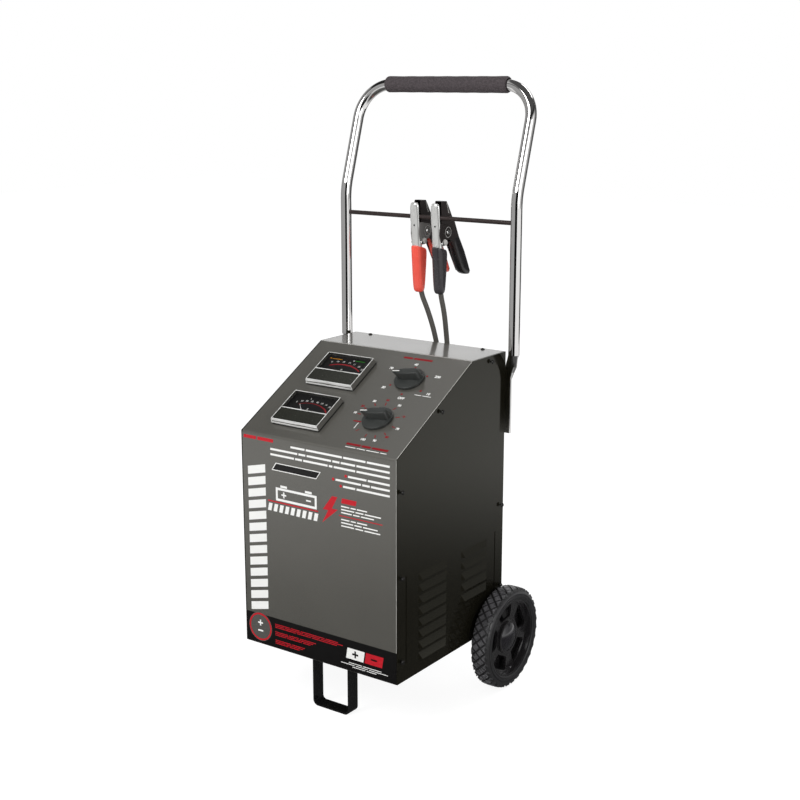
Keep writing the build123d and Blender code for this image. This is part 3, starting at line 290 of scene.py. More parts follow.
def tyre_rubber(name, colour):
    """Moulded rubber: satin, with a fine bloom; darker below the tread's blocks as painted shade, and lighter
    on their tops as a painted highlight.
    """
    finish = Finish(name)
    axle_low, axle_high = corners("axle")
    centre = (axle_low + axle_high) / 2
    along, up = finish.y - centre.y, finish.z - centre.z
    # Painted shade below the blocks' tops and a painted highlight on them, by distance from the axle.
    highlight_share = finish.maths("SQRT", along * along + up * up).ramp(SHADE_RADIUS, HIGHLIGHT_RADIUS)
    bloom = finish.noise(35.0)
    fine = finish.noise(1600.0, detail=2.0)
    painted_highlight = finish.tones(bloom.ramp(0.3, 0.75), colour, 1.6, 2.8)
    return finish.surface(
        Base_Color=finish.mix(highlight_share, shade(colour, 0.5), painted_highlight),
        Roughness=bloom.ramp(0.25, 0.75, 0.28, 0.42),
        Specular_IOR_Level=0.7,
        Normal=finish.bump(fine, 0.00006),
    )


def sleeve_finish(name, colour):
    """Dipped vinyl: glossy, slightly uneven, with fine ribs down its length."""
    finish = Finish(name)
    ribs = finish.maths("SINE", finish.x * 2500.0)
    uneven = finish.noise(60.0)
    return finish.surface(
        Base_Color=finish.tones(uneven, colour, 0.9, 1.12),
        Roughness=uneven.ramp(0.3, 0.7, 0.2, 0.3),
        Specular_IOR_Level=0.4,
        Coat_Weight=0.2,
        Coat_Roughness=0.1,
        Normal=finish.bump(ribs, 0.00012),
    )


def cover_edge(name):
    """The polished edge of clear plastic, painted nearly white as a highlight where it gathers light."""
    finish = Finish(name)
    streak = finish.noise(1.0, place=finish.stretched(25, 400, 400))
    tone = finish.mix(streak.ramp(0.35, 0.65), rgba((0.5, 0.5, 0.48)), rgba((0.85, 0.85, 0.84)))
    return finish.surface(Base_Color=tone, Roughness=0.18, Coat_Weight=0.4)


# ---- Sizes and colours that a user would change ----
def colour_field(name, description, default):
    return bpy.props.FloatVectorProperty(
        name=name, description=description, subtype="COLOR", size=3, min=0.0, max=1.0, default=default)


def length_field(name, description, default):
    return bpy.props.FloatProperty(
        name=name, description=description, unit="LENGTH", subtype="DISTANCE", min=0.0, default=default)


class ChargerPaints(bpy.types.PropertyGroup):
    """Colours of the charger's finishes."""

    case: colour_field("Case paint", "Grey of the front, control panel and top", (0.1, 0.0965, 0.085))
    sides: colour_field("Side paint", "Near black of the side panels and back", (0.0078, 0.0071, 0.0046))
    ink_red: colour_field("Red ink", "Red of the printed marks", (0.5, 0.008, 0.018))
    ink_white: colour_field("White ink", "White of the printed marks", (0.85, 0.85, 0.83))
    foam: colour_field("Foam", "Grip foam", (0.06, 0.049, 0.053))
    red_grip: colour_field("Red sleeve", "Sleeves of the positive clamp", (0.93, 0.1, 0.066))
    black_grip: colour_field("Black sleeve", "Sleeves of the negative clamp", (0.036, 0.032, 0.036))
    rubber: colour_field("Tyre rubber", "Tyres", (0.048, 0.047, 0.05))
    jacket: colour_field("Lead jacket", "Battery leads", (0.075, 0.07, 0.062))


class ChargerSizes(bpy.types.PropertyGroup):
    """Sizes of the dressing pieces."""

    ink: length_field("Ink thickness", "Height of a print above its panel", 0.00012)
    band: length_field("Foot band", "Height of the black band along the front's lower edge", 0.054)
    block_height: length_field("Tread depth", "Height of a tread block", 0.0034)
    lead: length_field("Lead", "Diameter of a battery lead", 0.009)
    coil_radius: length_field("Coil radius", "Middle radius of the put-away coil", 0.050)
    blocks: bpy.props.IntProperty(
        name="Blocks round", description="Tread blocks in one row", min=12, max=80, default=32)
    rows: bpy.props.IntProperty(name="Rows", description="Rows of tread blocks", min=1, max=9, default=4)
    coil_steps: bpy.props.IntProperty(
        name="Coil steps", description="Points in one turn of the coil", min=12, max=32, default=16)


def paints():
    return bpy.context.scene.charger_paints


def sizes():
    return bpy.context.scene.charger_sizes


# ---- Places: flat frames that prints and shapes are laid out on, in millimetres ----
class Place:
    """A flat frame on the object; at() turns (across, up, out) millimetres into a point."""

    def __init__(self, origin, across, up):
        self.origin = Vector(origin)
        self.across = Vector(across)
        self.up = Vector(up)
        self.out = self.across.cross(self.up)

    def at(self, across, up, out=0.0):
        return self.origin + (self.across * across + self.up * up + self.out * out) * MM

    def put(self, mesh, across=0.0, up=0.0, out=0.0):
        """Moves a mesh drawn in millimetres from its own origin onto this place."""
        axes = Matrix((self.across, self.up, self.out)).transposed().to_4x4()
        shift = Matrix.Translation(self.at(across, up, out))
        mesh.transform(shift @ axes @ Matrix.Diagonal((MM, MM, MM, 1)))
        return mesh

    def plate(self, outlines, thickness, **where):
        """A flat plate of some outlines, laid on this place."""
        return self.put(flat_shape(outlines, thickness), **where)

    def stack(self, layers, **ends):
        """A loft through (height, outline) layers above this place's plane."""
        return loft([[self.at(x, y, height) for x, y in outline] for height, outline in layers], **ends)


def panel_place(joint):
    """The control panel's frame round a joint's axis."""
    normal = Vector(JOINTS[joint]["axis"])
    return Place(JOINTS[joint]["pos_m"], (1, 0, 0), normal.cross(Vector((1, 0, 0))))


def bar_place(x=0.0, across=(0, 1, 0)):
    """A frame round the crossbar, where the clamps bite; across runs to the rear unless it is given."""
    return Place((x * MM, BAR_CENTRE.y, BAR_CENTRE.z), across, (0, 0, 1))


def case_point(x, y, z):
    """A point given in millimetres: across, behind the front cover, and above the case's foot."""
    return Vector((x * MM, cover_low.y + y * MM, case_low.z + z * MM))


case_low = corners("side_panel_right")[0]
cover_low, cover_high = corners("front_cover")
FRONT = Place((0, cover_low.y, case_low.z), (1, 0, 0), (0, 0, 1))
BAR_CENTRE = sum(corners("crossbar"), Vector()) / 2

# The control panel is measured from the middle of its foot; both knobs stand on one line.
KNOB_X = 73.0
SELECTOR_UP = 178.0
TIMER_UP = 77.0
METER_X = -62.0
METER_UP = {"ammeter": 65.0, "voltmeter": 169.0}
KNOB_PLACE = {name: panel_place(f"{name}_turn") for name in ("selector", "timer")}
PANEL = panel_place("selector_turn")
PANEL.origin = PANEL.at(-KNOB_X, -SELECTOR_UP)
# The way both knobs point, in degrees.
POINTER_TURN = 192

SELECTOR_DOTS = ((65.5, 209.0), (98.7, 192.8), (108.0, 156.6), (78.9, 142.4), (45.4, 159.6), (39.6, 197.4))
SELECTOR_FIGURES = (
    ((62.6, 216.6), "40"), ((22.4, 199.6), "70"), ((118.4, 194.6), "200"),
    ((125.0, 152.0), "10"), ((83.4, 132.8), "OFF"), ((36.6, 151.6), "20"))
# The timer's marks: angle, distance, figure, and whether the figure is red.
TIMER_SCALE = (
    (152.0, 42.5, "20", True), (129.0, 41.5, "30", False), (102.0, 38.0, "40", True),
    (65.0, 33.5, "50", False), (21.5, 33.5, "60", True), (-15.3, 38.5, "70", False),
    (-41.0, 42.5, "80", True), (-63.3, 42.0, "90", False), (-88.0, 38.5, "100", False),
    (-124.5, 36.5, "", True), (172.0, 41.0, "10", False))
CLAMP_X = {"red": -24.0, "black": 19.0}

# The height each lead's coil starts at, and its points to and from the coil, for case_point().
COIL_LEVELS = {"red": -68.3, "black": -95.3}
COIL_TURNS = 2
WAYS_IN = {
    "black": [(-140, 306, 60), (-140, 349, 60.2), (-139.5, 375, 45), (-139, 389, 16), (-137, 390.5, -14),
              (-131, 390, -48), (-116, 389, -78), (-90, 388, -94.3)],
    "red": [(-112, 306, 60), (-112, 349, 60.2), (-111.5, 375, 45), (-111, 389, 16), (-110.5, 390.5, -9),
            (-107, 389.8, -31), (-96.3, 388.8, -49.5), (-80.5, 388.3, -62.2)],
}
WAYS_OUT = {
    "black": [(-32, 388.5, -77.8), (-2, 388, -76), (23, 387, -59), (35, 386, -31), (39, 385, 8),
              (42, 381, 75), (44, 374, 160), (43, 364, 250), (38, 351, 340), (31.5, 339, 425),
              (28.5, 331.5, 500), (26, 327.5, 543), (19, 323.8, 578), (19, 317.6, 641)],
    "red": [(-34, 388, -49.5), (-9, 387, -35), (6, 386, -9), (11, 385, 28), (15, 382, 90),
            (18, 376, 170), (20, 367, 260), (19, 354, 350), (14, 340, 430), (4.5, 331.5, 500),
            (-9, 327.5, 544), (-24, 323.8, 578), (-24, 317.6, 641)],
}


# ---- Mesh helpers ----
def add_piece(name, mesh, material, body="charger", angle=35.0):
    """Links a mesh as a piece that rides on a body; edges sharper than angle stay sharp."""
    mesh.name = name
    mesh.polygons.foreach_set("use_smooth", [True] * len(mesh.polygons))
    mesh.set_sharp_from_angle(angle=radians(angle))
    mesh.update()
    if material:
        mesh.materials.clear()
        mesh.materials.append(material)
    piece = bpy.data.objects.new(name, mesh)
    bpy.context.scene.collection.objects.link(piece)
    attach(piece, body)
    return piece


def baked_mesh(source):
    """A plain mesh of an object with its curve or modifiers applied; the object is removed."""
    bpy.context.scene.collection.objects.link(source)
    view = bpy.context.evaluated_depsgraph_get()
    mesh = bpy.data.meshes.new_from_object(source.evaluated_get(view))
    bpy.data.objects.remove(source)
    return mesh


def modified(mesh, kind, **settings):
    """A mesh with one modifier applied."""
    source = bpy.data.objects.new("modified", mesh)
    modifier = source.modifiers.new("modified", kind)
    for key, setting in settings.items():
        setattr(modifier, key, setting)
    return baked_mesh(source)


def mesh_of(shape):
    """A plain mesh from a bmesh, which is freed."""
    mesh = bpy.data.meshes.new("shape")
    shape.to_mesh(mesh)
    shape.free()
    return mesh


def flat_shape(outlines, thickness):
    """A flat plate from closed outlines, where an outline inside another is a hole."""
    curve = bpy.data.curves.new("outline", "CURVE")
    curve.dimensions = "2D"
    curve.fill_mode = "BOTH"
    curve.extrude = thickness / 2
    for outline in outlines:
        spline = curve.splines.new("POLY")
        spline.points.add(len(outline) - 1)
        for point, (x, y) in zip(spline.points, outline):
            point.co = (x, y, thickness / 2, 1)
        spline.use_cyclic_u = True
    return baked_mesh(bpy.data.objects.new("outline", curve))


def lettered(text, size, thickness, bold):
    """A flat plate in the shape of some figures, centred on its own middle."""
    curve = bpy.data.curves.new("figures", "FONT")
    curve.body = text
    curve.size = size
    curve.align_x = "CENTER"
    curve.align_y = "CENTER"
    curve.offset = bold
    curve.extrude = thickness / 2
    mesh = baked_mesh(bpy.data.objects.new("figures", curve))
    mesh.transform(Matrix.Translation((0, 0, thickness / 2)))
    return mesh


def joined(meshes):
    """One mesh from several."""
    whole = bmesh.new()
    for part in meshes:
        whole.from_mesh(part)
    return mesh_of(whole)


def welded(mesh):
    """A mesh with its doubled points merged."""
    shape = bmesh.new()
    shape.from_mesh(mesh)
    bmesh.ops.remove_doubles(shape, verts=shape.verts, dist=1e-6)
    bmesh.ops.recalc_face_normals(shape, faces=shape.faces)
    return mesh_of(shape)


def loft(rings, caps=True):
    """A mesh through closed rings of points; each ring has as many points as the next."""
    shape = bmesh.new()
    rows = [[shape.verts.new(point) for point in ring] for ring in rings]
    count = len(rows[0])
    for row, above in zip(rows, rows[1:]):
        for index in range(count):
            after = (index + 1) % count
            shape.faces.new((row[index], row[after], above[after], above[index]))
    if caps:
        shape.faces.new(reversed(rows[0]))
        shape.faces.new(rows[-1])
    bmesh.ops.recalc_face_normals(shape, faces=shape.faces)
    return mesh_of(shape)


def turned(profile, centre, steps):
    """A closed profile of (x, radius) in metres, turned about the X direction through a centre."""
    rings = []
    for step in range(steps):
        angle = 2 * pi * step / steps
        rings.append([Vector((x, centre.y + r * cos(angle), centre.z + r * sin(angle))) for x, r in profile])
    return welded(loft(rings + [rings[0]], caps=False))


# ---- Outlines, as lists of (x, y) ----
def circle(radius, steps=48, centre=(0.0, 0.0)):
    angles = [2 * pi * step / steps for step in range(steps)]
    return [(centre[0] + radius * cos(angle), centre[1] + radius * sin(angle)) for angle in angles]


def box_outline(left, low, right, high):
    return [(left, low), (right, low), (right, high), (left, high)]


def slanted(left, low, width, height, lean):
    """A box whose top edge leans to the right."""
    right, high = left + width, low + height
    return [(left, low), (right, low), (right + lean, high), (left + lean, high)]


def rounded(width, length, radius):
    """A rectangle's outline with rounded corners."""
    points = []
    for corner, (x, y) in enumerate(((1, 1), (-1, 1), (-1, -1), (1, -1))):
        for step in range(6):
            angle = pi / 2 * (corner + step / 5)
            points.append((x * (width / 2 - radius) + radius * cos(angle),
                           y * (length / 2 - radius) + radius * sin(angle)))
    return points


def tick(angle, near, far, width):
    """A radial mark round the origin."""
    along = Vector((cos(radians(angle)), sin(radians(angle))))
    side = Vector((-along.y, along.x)) * width / 2
    ends = (along * near - side, along * far - side, along * far + side, along * near + side)
    return [tuple(end) for end in ends]


def moved(outline, across, up):
    return [(across + x, up + y) for x, y in outline]


def turned_outline(points, turn):
    spin = Matrix.Rotation(radians(turn), 2)
    return [tuple(spin @ Vector(point)) for point in points]


def grow(mesh, inputs, build):
    """Runs a Geometry Nodes tree on a mesh: build(tree, mesh_in, given) returns the geometry."""
    group = bpy.data.node_groups.new("repeat", "GeometryNodeTree")
    for way in ("INPUT", "OUTPUT"):
        group.interface.new_socket("Geometry", in_out=way, socket_type="NodeSocketGeometry")
    identifiers = {}
    for label, value in inputs.items():
        kind = "NodeSocketInt" if isinstance(value, int) else "NodeSocketFloat"
        socket = group.interface.new_socket(label, in_out="INPUT", socket_type=kind)
        identifiers[label] = socket.identifier
    tree = Tree(group)
    entry = group.nodes.new("NodeGroupInput")
    given = {socket.name: Value(tree, socket) for socket in entry.outputs if socket.name}
    result = build(tree, given["Geometry"], given)
    tree.add("NodeGroupOutput", [result])
    source = bpy.data.objects.new("repeat", mesh)
    modifier = source.modifiers.new("repeat", "NODES")
    modifier.node_group = group
    for label, value in inputs.items():
        modifier[identifiers[label]] = value
    return baked_mesh(source)


# ---- Operators: one for each group of like pieces ----
class ChargerOperator:
    """What the charger's operators share."""

    bl_options = {"REGISTER", "UNDO"}


class CHARGER_OT_finishes(ChargerOperator, bpy.types.Operator):
    """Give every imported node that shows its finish; what stands for the others has its own."""

    bl_idname = "charger.finishes"
    bl_label = "Finishes"

    def execute(self, context):
        for rows in (self.case(), self.wheels(), self.inside(), self.controls(), self.clamps()):
            for material, nodes in rows:
                for node in nodes:
                    mesh = frame["nodes"][node].data
                    mesh.materials.clear()
                    mesh.materials.append(material)
        return {"FINISHED"}

    def case(self):
        """The case, its handle and what is fastened to it."""
        colours = paints()
        return [
            (panel_paint("case_paint", colours.case, 0.34, 0.3, 0.9, 0.4), ["front_cover"]),
            (panel_paint("side_paint", colours.sides, 0.1, tinge=(1.0, 0.98, 0.76)),
             ["side_panel_left", "side_panel_right", "rear_panel", "base_tray"]),
            (coated("foot_gloss", (0.008, 0.008, 0.008), 0.16, coat=0.4), ["front_foot"]),
            (plated("handle_chrome", (0.86, 0.85, 0.84), 0.045), ["handle_tube"]),
            (coated("blackened_rod", (0.05, 0.038, 0.036), 0.34, metallic=0.5), ["crossbar"]),
            (coated("grommet_rubber", (0.015, 0.015, 0.015), 0.6), ["lead_grommets"]),
            (coated("tie_strap", (0.012, 0.012, 0.013), 0.85, grain=1400.0, depth=0.0002), ["coil_tie"]),
        ]

    def wheels(self):
        """The hubs and their caps."""
        gloss = {"coat": 1.0, "mottle": 0.05, "depth": 0.00001, "sheen": 0.6}
        return [
            (coated("hub_gloss", (0.016, 0.015, 0.016), 0.16, **gloss), ["hub_left", "hub_right"]),
            (coated("cap_gloss", (0.013, 0.012, 0.015), 0.08, **gloss), ["hub_cap_left", "hub_cap_right"]),
        ]

    def inside(self):
        """What stands inside the case or under it."""
        return [
            (coated("black_satin", (0.012, 0.012, 0.012), 0.4), ["axle_brackets", "fan_motor"]),
            (plated("zinc_steel", (0.5, 0.5, 0.48), 0.3),
             ["axle", "handle_bolts", "tray_bolts", "rectifier_diodes", "fan_bracket", "timer_shaft",
              "selector_shaft"]),
            (coated("black_moulding", (0.016, 0.016, 0.015), 0.38, grain=1800.0),
             ["axle_spacers", "circuit_breaker", "fan_blade", "timer_body", "selector_switch", "mains_gland",
              "ammeter_housing", "voltmeter_housing"]),
            (coated("core_steel", (0.09, 0.09, 0.1), 0.45, metallic=0.7), ["transformer_core"]),
            (coated("varnished_copper", (0.35, 0.12, 0.04), 0.3, metallic=0.6), ["transformer_windings"]),
            (plated("sink_aluminium", (0.62, 0.62, 0.62), 0.35), ["rectifier_heatsink"]),
        ]

    def controls(self):
        """The meters' dials and needles."""
        return [
            (coated("dial_face", (0.008, 0.008, 0.008), 0.5), ["ammeter_dial", "voltmeter_dial"]),
            (coated("ammeter_needle_paint", (0.85, 0.85, 0.82), 0.4), ["ammeter_needle"]),
            (coated("voltmeter_needle_paint", (0.05, 0.02, 0.02), 0.4), ["voltmeter_needle"]),
        ]

    def clamps(self):
        """The two clamps' rear halves, pins and springs."""
        return [
            (plated("rivet_plating", (0.75, 0.75, 0.74), 0.16), ["clamp_pins"]),
            (plated("spring_steel", (0.4, 0.4, 0.4), 0.25), ["clamp_springs"]),
            # Dark plating, with shade painted into its colour.
            (coated("clamp_dark_plating", (0.034, 0.027, 0.026), 0.3, metallic=0.3, sheen=0.5),
             ["clamp_rear_half_red", "clamp_rear_half_black"]),
        ]


class CHARGER_OT_leads(ChargerOperator, bpy.types.Operator):
    """Lay the two battery leads from their strain reliefs through the coil to the clamps."""

    bl_idname = "charger.leads"
    bl_label = "Battery leads"

    def execute(self, context):
        material = jacket("lead_jacket", paints().jacket)
        for name in WAYS_IN:
            points = self.route(name)
            lead = self.cable(name, points)
            lead.data.materials.append(material)
            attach(lead, "charger")
            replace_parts(lead, f"lead_{name}", f"lead_coil_{name}")
        return {"FINISHED"}

    def route(self, name):
        """A lead's points: into the coil, round its turns, and out of it."""
        low, high = corners("lead_coil_red")
        middle = (low + high) / 2
        steps = sizes().coil_steps
        reach = sizes().coil_radius / cos(pi / steps)
        points = [case_point(*spot) for spot in WAYS_IN[name]]
        for step in range(steps * COIL_TURNS + 1):
            angle = -pi / 2 + 2 * pi * step / steps
            height = case_low.z + COIL_LEVELS[name] * MM + sizes().lead * step / steps
            points.append(Vector((middle.x + reach * cos(angle), middle.y + reach * sin(angle), height)))
        return points + [case_point(*spot) for spot in WAYS_OUT[name]]

    def cable(self, name, points):
        """A round cable along a smooth line that the points control."""
        curve = bpy.data.curves.new(f"lead_{name}_cable", "CURVE")
        curve.dimensions = "3D"
        curve.bevel_depth = sizes().lead / 2
        curve.bevel_resolution = 5
        curve.resolution_u = 8
        curve.use_fill_caps = True
        spline = curve.splines.new("NURBS")
        spline.points.add(len(points) - 1)
        for point, place in zip(spline.points, points):
            point.co = (*place, 1)
        spline.order_u = 3
        spline.use_endpoint_u = True
        lead = bpy.data.objects.new(f"lead_{name}_cable", curve)
        bpy.context.scene.collection.objects.link(lead)
        return lead


class CHARGER_OT_tyres(ChargerOperator, bpy.types.Operator):
    """Build the tyres: a grooved carcass with staggered rows of diamond blocks."""

    bl_idname = "charger.tyres"
    bl_label = "Tyres"
    # The carcass from the wheel's inner face outwards, as (across, radius); how far the tread's blocks
    # drop towards both shoulders, as (across, drop); and where the tread ends on both sides.
    profile = (
        (2, 68.2), (0.6, 71), (0, 75), (0.4, 79), (1.6, 82.5), (4.2, 85.2), (8, 86.2), (17.5, 86.5),
        (27, 86.2), (30.6, 85.4), (33.2, 83.2), (34.4, 80.2), (34.7, 78.4), (33.6, 77.8), (33.6, 77.0),
        (34.9, 76.3), (35, 74.4), (34.6, 72.6), (33.7, 72.2), (33.7, 71.4), (34.5, 70.9), (34.2, 69.3),
        (33.2, 68.2), (24, 68.0), (10, 68.0))
    shoulder = (
        (0.0, 8.2), (1.6, 3.9), (4.2, 1.1), (8.0, 0.2), (27.0, 0.2), (30.6, 1.0), (33.2, 3.4), (34.4, 6.4))
    tread_edges = (0.9, 33.6)

    def execute(self, context):
        rubber = tyre_rubber("tread_rubber", paints().rubber)
        for name, side in zip(SIDES, (-1, 1)):
            low, high = corners(f"tyre_{name}")
            centre = (low + high) / 2
            inside = low.x if side > 0 else high.x
            rim = [(inside + side * x * MM, radius * MM) for x, radius in self.profile]
            tread = self.tread(rubber)
            tread.transform(Matrix.Diagonal((side, 1, 1, 1)))
            tread.transform(Matrix.Translation((inside, centre.y, centre.z)))
            whole = joined([turned(rim, centre, steps=120), welded(tread)])
            tyre = add_piece(f"tyre_tread_{name}", whole, rubber, f"wheel_{name}", 40.0)
            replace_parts(tyre, f"tyre_{name}")
        return {"FINISHED"}

    def tread(self, rubber):
        """The tread's blocks round the X axis, bent down at both shoulders."""
        inputs = {
            "Blocks": sizes().blocks, "Rows": sizes().rows, "Radius": 0.0856, "First row": 0.0042,
            "Row pitch": 0.0088, "Half round": 0.0068, "Half across": 0.0069, "Depth": sizes().block_height}
        mesh = grow(bpy.data.meshes.new("tread"), inputs,
                    lambda tree, start, given: self.blocks(tree, given, rubber))
        for point in mesh.vertices:
            across = min(max(point.co.x / MM, self.tread_edges[0]), self.tread_edges[1])
            reach = hypot(point.co.y, point.co.z)
            share = (reach - self.drop(across) * MM) / reach
            point.co = (across * MM, point.co.y * share, point.co.z * share)
        return mesh

    def drop(self, across):
        """How far the tread is bent down at a distance from the wheel's inner face."""
        for (near, high), (far, low) in zip(self.shoulder, self.shoulder[1:]):
            if across <= far:
                return high + (low - high) * (across - near) / (far - near)

    def blocks(self, tree, given, rubber):
        """Rows of diamond blocks round the tread; every second row is moved by half a block."""
        points = tree.node("GeometryNodePoints", [given["Blocks"] * given["Rows"]])
        index = tree.node("GeometryNodeInputIndex")
        row = tree.maths("FLOOR", index / given["Blocks"])
        step = index - row * given["Blocks"] + (row % 2.0) * 0.5
        angle = step / given["Blocks"] * (2 * pi)
        across = given["First row"] + row * given["Row pitch"]
        along, up = (given["Radius"] * tree.maths(wave, angle) for wave in ("COSINE", "SINE"))
        points = tree.node("GeometryNodeSetPosition",
                           named={"Geometry": points, "Position": tree.vector(across, along, up)})
        size = tree.vector(given["Half across"], given["Half round"], given["Depth"])
        shape = tree.node("GeometryNodeTransform", named={"Geometry": self.block(tree), "Scale": size})
        # A block stands up along Z, and is turned about X to its place round the wheel.
        facing = tree.vector(angle - pi / 2, 0.0, 0.0)
        made = tree.node("GeometryNodeInstanceOnPoints",
                         named={"Points": points, "Instance": shape, "Rotation": facing})
        real = tree.node("GeometryNodeRealizeInstances", [made])
        return tree.node("GeometryNodeSetMaterial", named={"Geometry": real, "Material": rubber})

    def block(self, tree):
        """One diamond with a sunk centre, of a size of one."""
        block = tree.node("GeometryNodeMeshCone", fill_type="NGON",
                          named={"Vertices": 4, "Radius Top": 0.86, "Radius Bottom": 1.0, "Depth": 1.0})
        upward = tree.parts(tree.node("GeometryNodeInputNormal"))[2]
        top = tree.node("FunctionNodeCompare", data_type="FLOAT", operation="GREATER_THAN",
                        named={0: upward, 1: 0.9})
        for scale, lift in ((0.76, 0.0), (0.84, -0.3), (0.86, 0.22)):
            block, top = self.stepped(tree, block, top, scale, lift)
        return block

    def stepped(self, tree, mesh, top, scale, lift):
        """Draws in a block's top face and moves it; returns the mesh and the new top face."""
        border = tree.add("GeometryNodeExtrudeMesh", mode="FACES",
                          named={"Mesh": mesh, "Selection": top, "Offset Scale": 0.0})
        whole, inner = (Value(tree, border.outputs[name]) for name in ("Mesh", "Top"))
        narrowed = tree.node("GeometryNodeScaleElements",
                             named={"Geometry": whole, "Selection": inner, "Scale": scale})
        raised = tree.node("GeometryNodeSetPosition",
                           named={"Geometry": narrowed, "Selection": inner, "Offset": (0.0, 0.0, lift)})
        return raised, inner


class CHARGER_OT_grip(ChargerOperator, bpy.types.Operator):
    """Slide the foam grip over the handle's top."""

    bl_idname = "charger.grip"
    bl_label = "Foam grip"

    def execute(self, context):
        low, high = corners("foam_grip")
        half = (high.x - low.x) / 2
        radius = (high.z - low.z) / 2
        bore = 0.0102
        # Places along the sleeve, with their share of its radius: round ends, and a slight unevenness.
        edge = [(half - 0.0035, 1.0), (half - 0.0012, 0.93), (half, 0.84)]
        skin = [(-x, share) for x, share in reversed(edge)]
        skin += [(half * (step / 12 - 1) * 0.96, 0.985 + 0.012 * sin(step * 1.7)) for step in range(1, 24)]
        skin += edge
        profile = [(x, radius * share) for x, share in skin]
        profile += [(half - 0.0008, bore), (-half + 0.0008, bore)]
        sleeve = turned(profile, (low + high) / 2, steps=64)
        foam = add_piece("foam_sleeve", sleeve, foam_finish("sleeve_foam", paints().foam), "charger", 50.0)
        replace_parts(foam, "foam_grip")
        return {"FINISHED"}


class CHARGER_OT_knobs(ChargerOperator, bpy.types.Operator):
    """Mould the two skirted knobs with their pointed finger bars and white marks."""

    bl_idname = "charger.knobs"
    bl_label = "Knobs"
    # The skirt's (height, radius), and the finger bar's sections: height, how far the tip reaches, half
    # the tip's width, half the middle's, where the back ends, and half the back's width.
    skirt = (
        (0.6, 25.6), (1.2, 26.0), (4.4, 25.9), (5.0, 25.3), (5.2, 24.4), (5.9, 19.0), (7.0, 10.0), (7.4, 4.0))
    bar = (
        (5.0, 19.8, 1.6, 7.9, -23.0, 7.6), (9.0, 20.4, 1.6, 7.7, -22.4, 7.4),
        (13.0, 22.2, 1.6, 7.4, -21.8, 7.1), (17.0, 24.8, 1.5, 7.1, -21.0, 6.8),
        (20.15, 26.0, 1.4, 6.8, -20.0, 6.5))
    mark = ((12.5, -0.9), (24.4, -0.85), (25.4, 0), (24.4, 0.85), (12.5, 0.9))

    def execute(self, context):
        moulding = coated("knob_moulding", (0.03, 0.033, 0.031), 0.34, mottle=0.08, grain=1500.0, sheen=0.6)
        white = flat_print("knob_mark", paints().ink_white)
        for name, place in KNOB_PLACE.items():
            dish = place.stack([(height, circle(radius, 72)) for height, radius in self.skirt])
            bar = place.stack([self.bar_section(*section) for section in self.bar])
            bar = modified(bar, "BEVEL", width=0.0009, segments=3, limit_method="ANGLE",
                           angle_limit=radians(25))
            knob = add_piece(f"{name}_knob_moulding", joined([dish, bar]), moulding, f"{name}_dial", 32.0)
            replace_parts(knob, f"{name}_knob")
            mark = place.plate([turned_outline(self.mark, POINTER_TURN)], 0.12, out=20.16)
            add_piece(f"{name}_knob_mark", mark, white, f"{name}_dial")
        return {"FINISHED"}

    def bar_section(self, height, tip, tip_half, middle_half, back, back_half):
        """A height, and the finger bar's outline there."""
        half = [(tip, tip_half), (16.0, tip_half + (middle_half - tip_half) * 0.5), (7.0, middle_half),
                (back + 4.0, back_half), (back + 1.2, back_half - 1.4), (back, back_half - 4.0)]
        outline = half + [(x, -y) for x, y in reversed(half)]
        return height, turned_outline(outline, POINTER_TURN)


class CHARGER_OT_sleeves(ChargerOperator, bpy.types.Operator):
    """Pull the ribbed sleeves over the clamps' handles."""

    bl_idname = "charger.sleeves"
    bl_label = "Clamp sleeves"
    # Sections down each sleeve: the front point, the rear point, and half the width.
    front = (
        ((-5.8, -49.0), (17.5, -55.6), 9.6), ((-6.8, -51.0), (23.6, -58.4), 10.4),
        ((-6.4, -58.5), (24.6, -64.6), 10.6), ((-4.6, -75.0), (23.4, -78.6), 10.6),
        ((-2.0, -100.0), (20.8, -102.0), 10.4), ((0.4, -121.0), (18.4, -121.8), 10.0),
        ((1.8, -128.0), (17.2, -128.2), 9.2), ((3.8, -131.6), (15.4, -131.6), 7.6),
        ((6.4, -132.9), (13.0, -132.9), 5.0))
    rear = (
        ((39.5, -40.5), (57.0, -31.0), 7.9), ((40.5, -47.0), (61.5, -38.0), 8.6),
        ((48.5, -63.5), (74.0, -54.0), 8.7), ((57.0, -80.5), (86.5, -73.0), 8.7),
        ((66.0, -96.5), (96.5, -92.5), 8.6), ((73.5, -102.6), (100.0, -101.6), 8.2),
        ((81.5, -105.0), (99.6, -105.6), 7.0), ((86.5, -106.4), (96.0, -107.0), 5.0))
    # The rear sleeves' colour as a share of the front's: the same vinyl, painted darker as shade.
    rear_shares = {"red": 0.85, "black": 0.28}

    def execute(self, context):
        for colour, x in CLAMP_X.items():
            tint = getattr(paints(), f"{colour}_grip")
            shaded = [part * self.rear_shares[colour] for part in tint]
            self.sleeve("front", colour, x, tint, "charger")
            self.sleeve("rear", colour, x, shaded, f"clamp_{colour}_rear")
        return {"FINISHED"}

    def sleeve(self, end, colour, x, tint, body):
        """One sleeve, in place of its packed grip."""
        place = bar_place(x)
        rings = [self.section(place.at(*first), place.at(*last), half * MM)
                 for first, last, half in getattr(self, end)]
        mesh = modified(loft(rings), "SUBSURF", levels=1, render_levels=1)
        material = sleeve_finish(f"{end}_vinyl_{colour}", tint)
        piece = add_piece(f"{end}_sleeve_{colour}", mesh, material, body, 40.0)
        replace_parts(piece, f"clamp_{end}_grip_{colour}")

    def section(self, start, end, half, power=2.7, steps=28):
        """A ring of points between two ends, in a shape between an ellipse and a box."""
        ring = []
        for step in range(steps):
            angle = 2 * pi * step / steps
            x, y = (abs(wave) ** (2 / power) * (1 if wave >= 0 else -1) for wave in (cos(angle), sin(angle)))
            ring.append((start + end) / 2 + Vector((half * x, 0, 0)) + (end - start) / 2 * y)
        return ring


